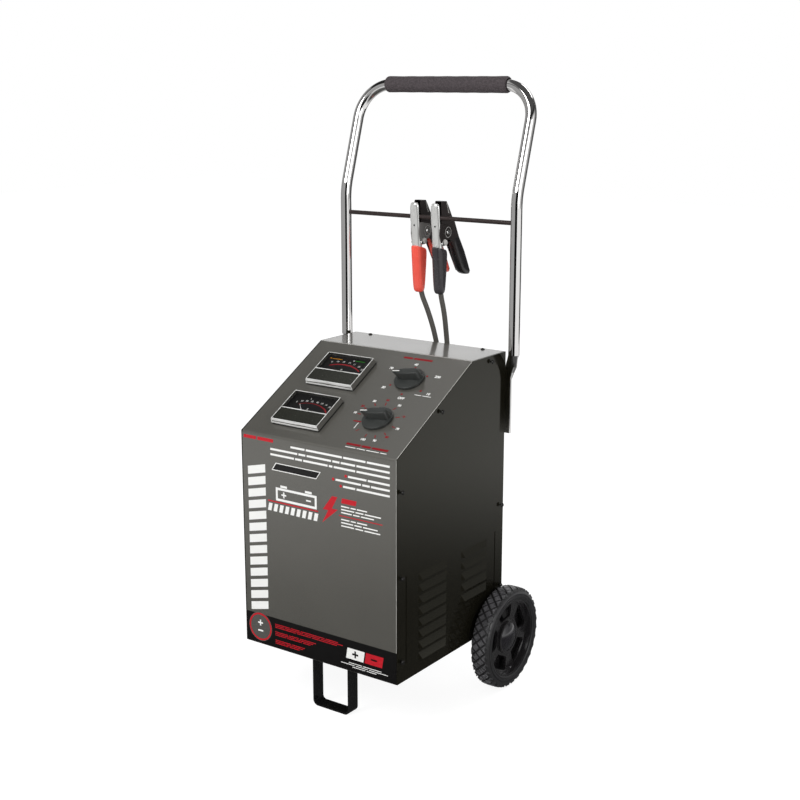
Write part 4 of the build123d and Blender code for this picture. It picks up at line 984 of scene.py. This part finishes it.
class CHARGER_OT_clamps(ChargerOperator, bpy.types.Operator):
    """Press the clamps' bright front channels, their ears, the teeth and the cable bolts."""

    bl_idname = "charger.clamps"
    bl_label = "Clamp jaws"
    # The front channel's sections: height, its front, its back, and half its width.
    sections = (
        (-120, 3.6, 10.5, 7.6), (-60, -2.2, 8.0, 8.8), (-40, -4.1, 5.5, 9.0), (-16, -6.4, 0.5, 9.0),
        (-9, -7.1, -4.0, 9.0), (10, -8.9, -4.1, 9.0), (17, -9.5, -4.2, 8.9), (21.4, -9.2, -4.3, 8.2),
        (23.8, -8.2, -4.6, 6.6), (24.9, -6.8, -5.1, 3.6))
    bolt_head = ((-6.8, 5.8), (9.0, 5.8), (9.2, 5.2), (11.0, 5.0), (12.4, 3.9), (13.0, 1.8))
    # The side ears' plating tone for each clamp, with shade painted in: the black clamp's far darker than the
    # red's.
    ear_shade_tones = {"red": (0.3, 0.29, 0.28), "black": (0.036, 0.029, 0.028)}
    pivot = (22.0, -26.0)
    ear_radius = 13

    def execute(self, context):
        bright = coated("clamp_chrome", (0.86, 0.86, 0.84), 0.12, metallic=0.6, mottle=0.05, sheen=0.5)
        # Pale plating: for the bolts, and as painted highlights on the pivot rings and teeth.
        dull = coated("clamp_dull_plating", (0.5, 0.49, 0.47), 0.35, mottle=0.2, grain=300.0)
        dark = coated("hole_black", (0.002, 0.002, 0.002), 0.8)
        for colour, x in CLAMP_X.items():
            face = bar_place(x, (1, 0, 0))
            front = add_piece(f"clamp_channel_{colour}", self.channel(face), bright, "charger", 40.0)
            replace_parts(front, f"clamp_front_half_{colour}")
            tone = self.ear_shade_tones[colour]
            plating = coated(f"clamp_ear_plating_{colour}", tone, 0.25, metallic=0.4, sheen=0.5)
            add_piece(f"clamp_ears_{colour}", self.pair([self.ear()], 1.35, x, 7.6), plating, "charger", 30.0)
            # A pale ring round each pivot: the embossed ring, painted pale as its highlight.
            ring = [circle(radius, 40, self.pivot) for radius in (9.3, 8.6)]
            add_piece(f"clamp_rings_{colour}", self.pair(ring, 0.25, x, 8.95), dull, "charger", 30.0)
            # A black disc on the channel's face: painted shade standing for its small hole.
            hole = face.plate([circle(1.5, 20, (0.6, -14.5))], 0.25, out=7.0)
            add_piece(f"clamp_hole_{colour}", hole, dark)
            bolt = bar_place(x).stack([(height, circle(radius, 20, (11.6, -43.0)))
                                       for height, radius in self.bolt_head])
            add_piece(f"clamp_bolt_{colour}", bolt, dull, "charger", 40.0)
            # Zigzag teeth on the rear jaw, in pale plating that paints in their lit edges.
            low, high = corners(f"clamp_rear_half_{colour}")
            teeth = self.pair([self.teeth()], 0.35, x, (high.x - low.x) / 2 / MM)
            add_piece(f"clamp_teeth_{colour}", teeth, dull, f"clamp_{colour}_rear", 20.0)
        return {"FINISHED"}

    def pair(self, outlines, thickness, x, reach):
        """Two like plates on a clamp's two sides, whose inner faces stand off its middle by reach."""
        sides = (x + reach, x - reach - thickness)
        return joined([bar_place().plate(outlines, thickness, out=side) for side in sides])

    def channel(self, face):
        """The front channel, from its foot in the sleeve to its domed top."""
        rings = []
        for up, front, back, half in self.sections:
            # The front is half an ellipse, and the back is open between two narrow flanges.
            turn = min(4.4, (back - front) * 0.85)
            ring = []
            for step in range(13):
                angle = radians(180 + 180 * step / 12)
                ring.append((half * cos(angle), front + turn + turn * sin(angle)))
            flange = [(half - 0.5, back), (half - 1.2, back - 0.4)]
            ring += flange + [(-across, y) for across, y in reversed(flange)]
            rings.append([face.at(across, up, -y) for across, y in ring])
        return modified(loft(rings), "SUBSURF", levels=1, render_levels=1)

    def ear(self):
        """A flat ear with a round end that holds the pivot."""
        angles = [radians(angle) for angle in range(80, -90, -10)]
        arc = [(self.ear_radius * cos(angle), self.ear_radius * sin(angle)) for angle in angles]
        end = moved(arc, *self.pivot)
        return [(-3.6, -9.5), (4.0, -9.8)] + end + [(5.6, -46.0), (0.0, -46.0), (-3.6, -30.0)]

    def teeth(self):
        """A strip of pressed teeth along an edge of the rear jaw."""
        left = [(17.6 + step * 0.55 + (1.7 if step % 2 else 0.0), 25.0 - step * 1.45) for step in range(14)]
        return left + [(y + 1.3, z) for y, z in reversed(left)]


class CHARGER_OT_prints(ChargerOperator, bpy.types.Operator):
    """Print the front's plain stripes and signs, and the control panel's scales."""

    bl_idname = "charger.prints"
    bl_label = "Prints"
    ring_spot = (-126.5, 30.8)
    selector_letter = 7.2
    timer_letter = 6.2
    boldness = 0.26
    # How far a timer's figure stands outside its tick, and half the tick's length.
    figure_gap = 9.6
    half_tick = 3.4

    def execute(self, context):
        ink = sizes().ink / MM
        white = flat_print("ink_white", paints().ink_white)
        red = flat_print("ink_red", paints().ink_red, 0.3)
        deep_red = flat_print("ink_deep_red", [part * 0.5 for part in paints().ink_red], 0.4)
        self.backgrounds(ink)
        self.rubbed_edges()
        add_piece("front_white_prints", self.inked(self.front_white(), ink, FRONT), white)
        add_piece("front_red_prints", self.inked(self.front_red(), ink, FRONT), red)
        for name, marks, material, is_red in (("white", self.panel_white(), white, False),
                                              ("red", self.panel_red(), deep_red, True)):
            meshes = [PANEL.plate(marks, ink)] + self.figures(ink, is_red)
            add_piece(f"panel_{name}_prints", joined(meshes), material)
        return {"FINISHED"}

    def backgrounds(self, ink):
        """The black band and box, and the grey disc, that other marks are printed on."""
        black = coated("band_black", (0.0055, 0.005, 0.005), 0.3, mottle=0.08, grain=1500.0, depth=0.00001)
        band = FRONT.plate([box_outline(-157.8, 0.4, 157.8, sizes().band / MM)], ink)
        box = FRONT.plate([slanted(-93, 314.8, 92, 11.8, 8)], ink * 0.6)
        add_piece("front_band", joined([band, box]), black)
        disc = FRONT.plate([circle(25.6, 64, self.ring_spot)], ink, out=ink)
        add_piece("ring_disc", disc, coated("ring_grey", (0.085, 0.082, 0.075), 0.35))

    def rubbed_edges(self):
        """Thin painted highlights along the cover's folded edges, where the bends catch the light."""
        material = coated("rubbed_edge", (0.62, 0.61, 0.58), 0.3, mottle=0.3, grain=60.0)
        # Painted highlights: the slope's right edge, the front's right edge and the top fold.
        lines = [PANEL.plate([box_outline(156.9, 2.0, 157.7, 243.0)], 0.1),
                 FRONT.plate([box_outline(157.2, 1.0, 157.7, 371.0)], 0.1),
                 PANEL.plate([box_outline(-157.0, 243.2, 157.0, 243.8)], 0.1)]
        add_piece("rubbed_edges", joined(lines), material)

    def inked(self, layers, ink, place):
        """One mesh of the outlines of each layer of ink, the lowest first."""
        return joined([place.plate(outlines, ink, out=level * ink) for level, outlines in enumerate(layers)])

    def rule(self, left, right, middle, height, *spans):
        """A line of short dashes between two ends; spans are their shares of the length."""
        gap = 2.6
        room = right - left - gap * (len(spans) - 1)
        dashes = []
        start = left
        for span in spans:
            width = room * span / sum(spans)
            dashes.append(slanted(start, middle - height / 2, width, height, 0.35))
            start += width + gap
        return dashes

    def rules(self, *rows):
        return [dash for row in rows for dash in self.rule(*row)]

    def cross_sign(self, x, y, reach, half):
        """A plus sign."""
        upper = [(reach, -half), (reach, half), (half, half), (half, reach), (-half, reach), (-half, half)]
        return moved(upper + [(-across, -up) for across, up in upper], x, y)

    def front_white(self):
        """The front's white marks, in three layers of ink."""
        stripes = [[(-146, low), (-108, low + 9), (-108, low + 23), (-146, low + 14)]
                   for low in range(58, 318, 20)]
        lines = self.rules(
            (-53, 145, 358.8, 3.4, 4, 10, 6, 6), (-96, 145, 349.4, 3.4, 8, 2, 7, 2, 4, 9),
            (-96, 145, 340.4, 3.4, 7, 2, 7, 1, 6, 9), (64, 145, 329.2, 3.4, 6, 7),
            (39, 145, 320.2, 3.4, 7, 2, 5), (54, 145, 311.2, 3.4, 3, 8))
        for middle, right in ((278, 101), (272.8, 128), (267.6, 114.5),
                              (256.2, 101), (250.9, 121.5), (245.6, 126.5)):
            lines += self.rule(49.5, right, middle, 2.0, 5, 3, 6)
        battery = [box_outline(-86, 263, 0, 285.6), box_outline(-82, 267, -4, 281.6)]
        battery += [box_outline(-76, 286.6, -62, 290.4), box_outline(-24, 286.6, -10, 290.4)]
        signs = [self.cross_sign(-69, 274.3, 5.0, 1.3), box_outline(-22, 273.0, -12, 275.6)]
        cells = [slanted(-104 + 12.1 * step, 243.4, 7.4, 13.0, 3.0) for step in range(9)]
        plate = [slanted(57, 21.5, 35, 18.5, 3), self.cross_sign(75.6, 30.8, 6.2, 1.7)]
        foot = self.rules(
            (62, 128, 14.6, 1.1, 5, 7), (46, 141, 11.4, 1.1, 6, 5, 8), (70, 118, 8.2, 1.1, 4, 3))
        box_line = [slanted(-94, 314, 94, 13.4, 9), slanted(-91.6, 315.3, 91, 10.8, 7.6)]
        ring_signs = [self.cross_sign(-126.5, 38.0, 5.4, 1.3), box_outline(-132.0, 22.4, -121.0, 25.2)]
        return stripes + lines + battery + signs + cells, plate + foot + box_line, ring_signs

    def front_red(self):
        """The front's red marks, in three layers of ink."""
        bolt = [(31.5, 291.5), (12.5, 266.5), (23.5, 266.5), (11, 243.8),
                (43, 270.6), (31, 270.6), (42.5, 291.5)]
        rules = [box_outline(-103, 259.2, 3, 261.4), box_outline(45, 261.3, 131, 262.7)]
        rules += [slanted(50, 283.2, 29, 8.2, 1.6), slanted(-154, 360.4, 27, 5.6, 1),
                  slanted(-124, 360.4, 34, 5.6, 1)]
        dots = [circle(2.5, 20, centre) for centre in ((59.6, 329.2), (34.4, 320.2), (49.4, 311.2))]
        notes = []
        for middle, right, *spans in ((43.2, 40, 5, 3, 8, 4), (40.4, 50, 3, 6, 5, 7), (37.6, 38, 6, 4, 7),
                                      (29.4, -6, 4, 3, 5), (26.6, -12, 6, 5), (23.8, -18, 3, 4, 2),
                                      (14.6, -30, 5, 4), (11.8, -34, 3, 5), (9.0, -42, 4, 3)):
            notes += self.rule(-94, right, middle, 1.35, *spans)
        plate = [slanted(94.5, 21.5, 35, 18.5, 3), box_outline(107.4, 29.4, 119.4, 32.4)]
        ring = [circle(radius, 64, self.ring_spot) for radius in (24.6, 21.6)]
        return [bolt] + rules + dots, notes + plate, ring

    def panel_white(self):
        marks = self.rules((54, 134, 7.6, 1.4, 5, 4, 6, 3), (102, 134, 146.0, 1.3, 4, 5))
        return marks + [slanted(42.6, 49.5, 1.3, 13.5, 0.4)]

    def panel_red(self):
        """Headings, the selector's six small marks and the timer's ticks."""
        marks = self.rules((29, 87, 230.4, 4.4, 4, 8), (52, 133, 14.4, 4.4, 8, 5, 9))
        marks += [circle(1.9, 16, spot) for spot in SELECTOR_DOTS]
        for angle, radius, figure, is_red in TIMER_SCALE:
            mark = tick(angle, radius - self.half_tick, radius + self.half_tick, 1.5)
            marks.append(moved(mark, KNOB_X, TIMER_UP))
        return marks + [slanted(31.5, 64.4, 15, 2.8, 0.5)]

    def figures(self, ink, red):
        """The plain numbers of the two scales, in one of the two inks."""
        chosen = [(spot, word, self.selector_letter) for spot, word in SELECTOR_FIGURES if not red]
        for angle, radius, figure, is_red in TIMER_SCALE:
            if figure and is_red == red:
                reach = radius + self.figure_gap
                spot = (KNOB_X + reach * cos(radians(angle)), TIMER_UP + reach * sin(radians(angle)))
                chosen.append((spot, figure, self.timer_letter))
        return [PANEL.put(lettered(word, size, ink, self.boldness), *spot) for spot, word, size in chosen]


class CHARGER_OT_screws(ChargerOperator, bpy.types.Operator):
    """Drive the case's nineteen cross-recessed screws."""

    bl_idname = "charger.screws"
    bl_label = "Case screws"
    side_spots = ((9.5, 37), (9.5, 177), (9.5, 318), (118.9, 424.4), (268, 480.5), (306.5, 74), (306.5, 221))

    def execute(self, context):
        seats = self.seats()
        points = bpy.data.meshes.new("screw_seats")
        points.from_pydata([case_point(*spot) for spot, way in seats], [], [])
        facing = points.attributes.new("facing", "FLOAT_VECTOR", "POINT")
        for item, (spot, way) in zip(facing.data, seats):
            item.vector = way
        heads = grow(points, {"Head radius": 0.0039, "Head height": 0.0022}, self.screws)
        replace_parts(add_piece("screw_heads", heads, None), "case_screws")
        return {"FINISHED"}

    def seats(self):
        """Where each screw sits, and the way it faces."""
        side_x = corners("side_panel_right")[1].x / MM
        back = (corners("rear_panel")[1].y - cover_low.y) / MM
        top = (cover_high.z - case_low.z) / MM
        seats = [((way * side_x, y, z), (way, 0, 0)) for way in (-1, 1) for y, z in self.side_spots]
        seats += [((x, 306.5, top), (0, 0, 1)) for x in (-119, 119)]
        return seats + [((x, back, 8), (0, 1, 0)) for x in (-100, 0, 100)]

    def screws(self, tree, points, given):
        """A screw on each point, turned to face its way."""
        radius, height = given["Head radius"], given["Head height"]
        screw = self.merged(tree, [self.dome(tree, radius, height), self.recess(tree, radius, height)])
        way = tree.node("GeometryNodeInputNamedAttribute", named={"Name": "facing"}, data_type="FLOAT_VECTOR")
        facing = tree.node("FunctionNodeAlignRotationToVector", named={"Vector": way}, axis="Z")
        made = tree.node("GeometryNodeInstanceOnPoints",
                         named={"Points": points, "Instance": screw, "Rotation": facing})
        return tree.node("GeometryNodeRealizeInstances", [made])

    def dome(self, tree, radius, height):
        """The round head, from three short cones."""
        rings = []
        level = 0.0
        for low, high, share in ((1.0, 0.93, 0.35), (0.93, 0.74, 0.35), (0.74, 0.4, 0.3)):
            values = {"Vertices": 20, "Radius Bottom": radius * low, "Radius Top": radius * high}
            values["Depth"] = height * share
            ring = tree.node("GeometryNodeMeshCone", named=values, fill_type="NGON")
            lift = tree.vector(0.0, 0.0, height * level)
            rings.append(tree.node("GeometryNodeTransform", named={"Geometry": ring, "Translation": lift}))
            level += share
        material = coated("screw_black", (0.016, 0.015, 0.014), 0.2, metallic=0.3, coat=0.3)
        return tree.node("GeometryNodeSetMaterial",
                         named={"Geometry": self.merged(tree, rings), "Material": material})

    def recess(self, tree, radius, height):
        """The cross in the head, as two dark bars of painted shade."""
        size = tree.vector(radius * 1.1, radius * 0.2, height * 0.16)
        bar = tree.node("GeometryNodeMeshCube", named={"Size": size})
        lift = tree.vector(0.0, 0.0, height * 0.96)
        bars = [tree.node("GeometryNodeTransform",
                          named={"Geometry": bar, "Translation": lift, "Rotation": (0.0, 0.0, turn)})
                for turn in (0.6, 0.6 + pi / 2)]
        # Near black, as painted shade in the cross recess.
        material = coated("screw_recess", (0.003, 0.003, 0.003), 0.7)
        return tree.node("GeometryNodeSetMaterial",
                         named={"Geometry": self.merged(tree, bars), "Material": material})

    def merged(self, tree, shapes):
        join = tree.add("GeometryNodeJoinGeometry")
        for shape in shapes:
            tree.feed(join.inputs[0], shape)
        return Value(tree, join.outputs[0])


class CHARGER_OT_meters(ChargerOperator, bpy.types.Operator):
    """Print the meters' dials, and fit the clear covers with painted highlights on their edges, a silver
    strip and black lower halves.
    """

    bl_idname = "charger.meters"
    bl_label = "Meter covers"
    # Each dial's numbers, by their place across, with their height; its arc's middle and width; its dots;
    # and its coloured zones.
    dials = {
        "voltmeter": {
            "unit": "V",
            "numbers": {-33.5: (21.0, "8"), -22.3: (23.4, "10"), -10.6: (24.7, "12"), 1.9: (24.6, "14"),
                        13.7: (22.4, "16"), 25.8: (18.2, "18"), 36.0: (12.4, "20")},
            "arc": ((-33, 12, 2.0), (-20, 16.8, 2.6), (-6, 18.3, 2.8), (8, 17.4, 2.8), (24, 12.4, 2.6),
                    (34, 6.6, 2.0)),
            "dots": [circle(1.5, 16, (7.6, 30.7))],
            "zones": {"dial_amber": ((0.75, 0.3, 0.01),
                                     [box_outline(-38, 29.0, -17, 30.6), circle(1.6, 16, (-41.6, 29.9))]),
                      "dial_green": ((0.03, 0.3, 0.02), [box_outline(11, 30.2, 30, 31.8)])},
        },
        "ammeter": {
            "unit": "A",
            "numbers": {-34.6: (17.4, "0"), -26.0: (21.0, "10"), -16.4: (22.8, "20"), -6.0: (23.5, "30"),
                        5.2: (23.5, "40"), 15.6: (22.6, "50"), 25.0: (20.8, "60"), 34.6: (17.0, "70")},
            "arc": ((-28, 13.6, 0.7), (-14, 18.2, 0.8), (1, 19.0, 0.9), (16, 16.4, 1.4), (29, 10.6, 2.4),
                    (37, 3.4, 3.6)),
            "dots": [tick(112, 30.0, 34.0, 0.9)],
            "zones": {},
        },
    }
    # The lower wall's painted highlight, in sections: half its length, its lower and upper edge, and its
    # height.
    lower_wall = (
        (49.4, -38.7, -38.2, 2.6), (49.2, -38.4, -37.9, 5.0), (48.9, -37.7, -37.4, 5.4),
        (48.7, -37.5, -37.2, 7.0), (48.6, -37.9, -37.2, 7.3), (48.2, -36.9, -36.4, 11.0))
    print_height = 3.36

    def execute(self, context):
        clear = clear_cover("cover_clear")
        bright = cover_edge("cover_edge")
        black = coated("cover_black", (0.026, 0.027, 0.021), 0.16, coat=0.5, mottle=0.3, grain=20.0,
                       depth=0.00001)
        smoke = coated("cover_wall", (0.11, 0.105, 0.095), 0.22, mottle=0.1)
        for name in METERS:
            place = Place(PANEL.at(METER_X, METER_UP[name]), PANEL.across, PANEL.up)
            wall = place.stack([(2.5, rounded(100, 77, 2.5)), (10.7, rounded(96.6, 73.6, 2.0))], caps=False)
            window = place.stack([(10.72, rounded(96.4, 73.4, 2.0)), (10.98, rounded(96.2, 73.2, 1.9))])
            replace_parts(add_piece(f"{name}_pane", window, clear), f"{name}_lens")
            add_piece(f"{name}_wall", wall, smoke)
            # Painted highlights on the covers' edges, and the silver strip between dial and lower half.
            add_piece(f"{name}_bright_edges", self.edges(place), bright, "charger", 25.0)
            lower = place.plate([box_outline(-46.6, -34.8, 46.6, -7.6)], 0.5, out=10.3)
            add_piece(f"{name}_lower_plate", lower, black)
            self.scale(name, place)
        return {"FINISHED"}

    def edges(self, place):
        """Pale strips: painted highlights round the top and down the lower wall, and the silver strip across
        the middle.
        """
        wall = [(height, box_outline(-half, low, half, high)) for half, low, high, height in self.lower_wall]
        return joined([
            place.plate([rounded(96.6, 73.6, 2.0), rounded(94.0, 71.0, 1.2)], 0.22, out=10.9),
            place.plate([box_outline(-46.8, -7.6, 46.8, -5.9)], 0.5, out=10.6),
            place.stack(wall)])

    def scale(self, name, place):
        """A dial's numbers, arc and zones."""
        dial = self.dials[name]
        lift = self.print_height
        figures = [place.plate(dial["dots"], 0.1, out=lift)]
        for across, (up, word) in dial["numbers"].items():
            figures.append(place.put(lettered(word, 4.8, 0.1, 0.16), across, up, lift))
        figures.append(place.put(lettered(dial["unit"], 5.6, 0.1, 0.16), -3.0, 4.6, lift))
        add_piece(f"{name}_figures", joined(figures), flat_print("dial_white", (0.8, 0.8, 0.78)))
        arc = place.plate([self.arc(dial["arc"])], 0.08, out=lift)
        add_piece(f"{name}_arc", arc, flat_print("dial_red", (0.42, 0.012, 0.02), 0.5))
        for label, (colour, shapes) in dial["zones"].items():
            add_piece(f"{name}_{label}", place.plate(shapes, 0.1, out=lift), flat_print(label, colour))

    def arc(self, spots):
        """A curved stripe through (x, y, width) points."""
        upper = [(x, y + width / 2) for x, y, width in spots]
        return upper + [(x, y - width / 2) for x, y, width in reversed(spots)]


class CHARGER_OT_stage(ChargerOperator, bpy.types.Operator):
    """Set up the floor, the lights and the camera."""

    bl_idname = "charger.stage"
    bl_label = "Stage"
    # Place, size and power.
    lamps = {
        "key": ((-0.5, -2.8, 2.7), 1.6, 68.0),
        "fill": ((2.6, -1.0, 1.4), 1.2, 14.0),
        "back": ((0.5, 2.4, 2.2), 1.6, 35.0),
    }
    # Start and end in degrees round the charger, level, distance, lower and upper edge.
    cards = {
        "dark_card": (-84.0, -44.0, 0.006, 2.0, 0.0, 1.5),
        "grey_card": (-206.0, -150.0, 0.3, 2.0, 0.0, 2.3),
        "pale_card": (-150.0, -84.0, 0.36, 2.0, 0.12, 1.5),
        "edge_card": (32.0, 108.0, 0.08, 1.3, 0.36, 2.0),
    }
    card_centre = 0.3
    room_light = 0.55
    floor_reach = 9

    def execute(self, context):
        context.scene.view_settings.view_transform = "Standard"
        self.camera(context.scene)
        for name, lamp in self.lamps.items():
            self.lamp(name, *lamp)
        self.world(context.scene)
        self.floor()
        for name, card in self.cards.items():
            self.card(name, *card)
        return {"FINISHED"}

    def camera(self, scene):
        data = bpy.data.cameras.new("camera")
        data.lens = 61.04
        data.sensor_width = 36.0
        camera = bpy.data.objects.new("camera", data)
        camera.location = (1.3184, -1.81235, 1.0388)
        camera.rotation_euler = (radians(90 - 13.34), 0, radians(35.45))
        scene.collection.objects.link(camera)
        scene.camera = camera

    def lamp(self, name, place, size, power):
        data = bpy.data.lights.new(name, "AREA")
        data.size = size
        data.energy = power
        lamp = bpy.data.objects.new(name, data)
        lamp.location = place
        aim = Vector((0, 0, 0.45)) - Vector(place)
        lamp.rotation_euler = aim.to_track_quat("-Z", "Y").to_euler()
        bpy.context.scene.collection.objects.link(lamp)

    def world(self, scene):
        """Even light on the object; what metal mirrors has a bright horizon and a patch of ceiling."""
        world = bpy.data.worlds.new("studio")
        world.use_nodes = True
        scene.world = world
        world.node_tree.nodes.clear()
        tree = Tree(world.node_tree)
        x, y, z = tree.parts(tree.node("ShaderNodeTexCoord", output="Generated"))
        left = (x * -0.95 + y * -0.3).ramp(0.25, 0.9, 1.0, 0.3)
        right = (x * 0.58 + y * 0.81).ramp(0.5, 0.95, 1.0, 0.3)
        ceiling = x.ramp(-0.635, -0.54, 0.02, 0.62) * x.ramp(-0.5, -0.36, 1.0, 0.12)
        mirrored = z.ramp(0.32, 0.54, 1.05, 0.0) * left * right + z.ramp(0.5, 0.7) * ceiling
        seen, glossy = self.rays(tree)
        lit = (1.0 - tree.maths("MAXIMUM", seen, glossy)) * self.room_light
        light = tree.node("ShaderNodeBackground", [grey(1.0), lit + seen + (1.0 - seen) * glossy * mirrored])
        tree.add("ShaderNodeOutputWorld", [light])

    def rays(self, tree):
        """Two values: 1 for rays straight from the eye or through glass, and 1 for mirrored ones."""
        camera, glossy, through = (tree.node("ShaderNodeLightPath", output=f"Is {kind} Ray")
                                   for kind in ("Camera", "Glossy", "Transmission"))
        return tree.maths("MINIMUM", camera + through, 1.0), glossy

    def floor(self):
        """A pale floor, which metal mirrors with a painted shade near the charger and painted darker behind
        it.
        """
        finish = Finish("pale_floor")
        finish.surface(Base_Color=grey(0.78), Roughness=0.6)
        # For mirrored rays the floor is emission, with painted shade near the charger and a painted darkening
        # behind it.
        away = finish.maths("SQRT", finish.x * finish.x + finish.y * finish.y)
        seen, glossy = self.rays(finish)
        behind = (finish.x * -0.58 + finish.y * 0.815).ramp(0.6, 2.4)
        far = finish.mix(behind, grey(0.88), rgba((0.3, 0.29, 0.28)))
        mirrored = finish.mix(away.ramp(0.5, 1.7), grey(0.085), far)
        level = finish.mix(glossy, grey(1.25), mirrored)
        glow = finish.node("ShaderNodeEmission", [level, 1.0])
        share = seen * 0.72 + (1.0 - seen) * glossy
        lit = Value(finish, finish.shader.outputs[0])
        finish.output(finish.node("ShaderNodeMixShader", [share, lit, glow]))
        square = box_outline(-self.floor_reach, -self.floor_reach, self.floor_reach, self.floor_reach)
        self.prop("floor", [(x, y, 0) for x, y in square], [(0, 1, 2, 3)], finish)

    def card(self, name, start, end, level, reach, low, high):
        """A curved card that only bright metal mirrors, as a stripe of its own grey."""
        steps = 8
        angles = [radians(start + (end - start) * step / steps) for step in range(steps + 1)]
        points = [(reach * cos(angle), self.card_centre + reach * sin(angle), height)
                  for height in (low, high) for angle in angles]
        faces = [(step, step + 1, step + steps + 2, step + steps + 1) for step in range(steps)]
        finish = Finish(name)
        finish.output(finish.node("ShaderNodeEmission", [grey(1.0), level]))
        card = self.prop(name, points, faces, finish)
        card.visible_camera = False
        card.visible_diffuse = False
        card.visible_shadow = False
        card.visible_transmission = False

    def prop(self, name, points, faces, finish):
        """A mesh that belongs to the stage, not to the charger."""
        mesh = bpy.data.meshes.new(name)
        mesh.from_pydata(points, [], faces)
        mesh.materials.append(finish.material)
        piece = bpy.data.objects.new(name, mesh)
        bpy.context.scene.collection.objects.link(piece)
        return piece


OPERATORS = [
    CHARGER_OT_finishes,
    CHARGER_OT_leads,
    CHARGER_OT_tyres,
    CHARGER_OT_grip,
    CHARGER_OT_knobs,
    CHARGER_OT_sleeves,
    CHARGER_OT_clamps,
    CHARGER_OT_prints,
    CHARGER_OT_screws,
    CHARGER_OT_meters,
    CHARGER_OT_stage,
]


class CHARGER_PT_sidebar(bpy.types.Panel):
    """Lists the charger's operators in the sidebar."""

    bl_label = "Charger"
    bl_idname = "CHARGER_PT_sidebar"
    bl_space_type = "VIEW_3D"
    bl_region_type = "UI"
    bl_category = "Charger"

    def draw(self, context):
        for operator in OPERATORS:
            self.layout.operator(operator.bl_idname)


CLASSES = [ChargerPaints, ChargerSizes, *OPERATORS, CHARGER_PT_sidebar]


def register():
    for entry in CLASSES:
        bpy.utils.register_class(entry)
    bpy.types.Scene.charger_paints = bpy.props.PointerProperty(type=ChargerPaints)
    bpy.types.Scene.charger_sizes = bpy.props.PointerProperty(type=ChargerSizes)


def unregister():
    del bpy.types.Scene.charger_sizes
    del bpy.types.Scene.charger_paints
    for entry in reversed(CLASSES):
        bpy.utils.unregister_class(entry)


def main():
    register()
    for operator in OPERATORS:
        group, name = operator.bl_idname.split(".")
        getattr(getattr(bpy.ops, group), name)()


if __name__ == "__main__":
    main()
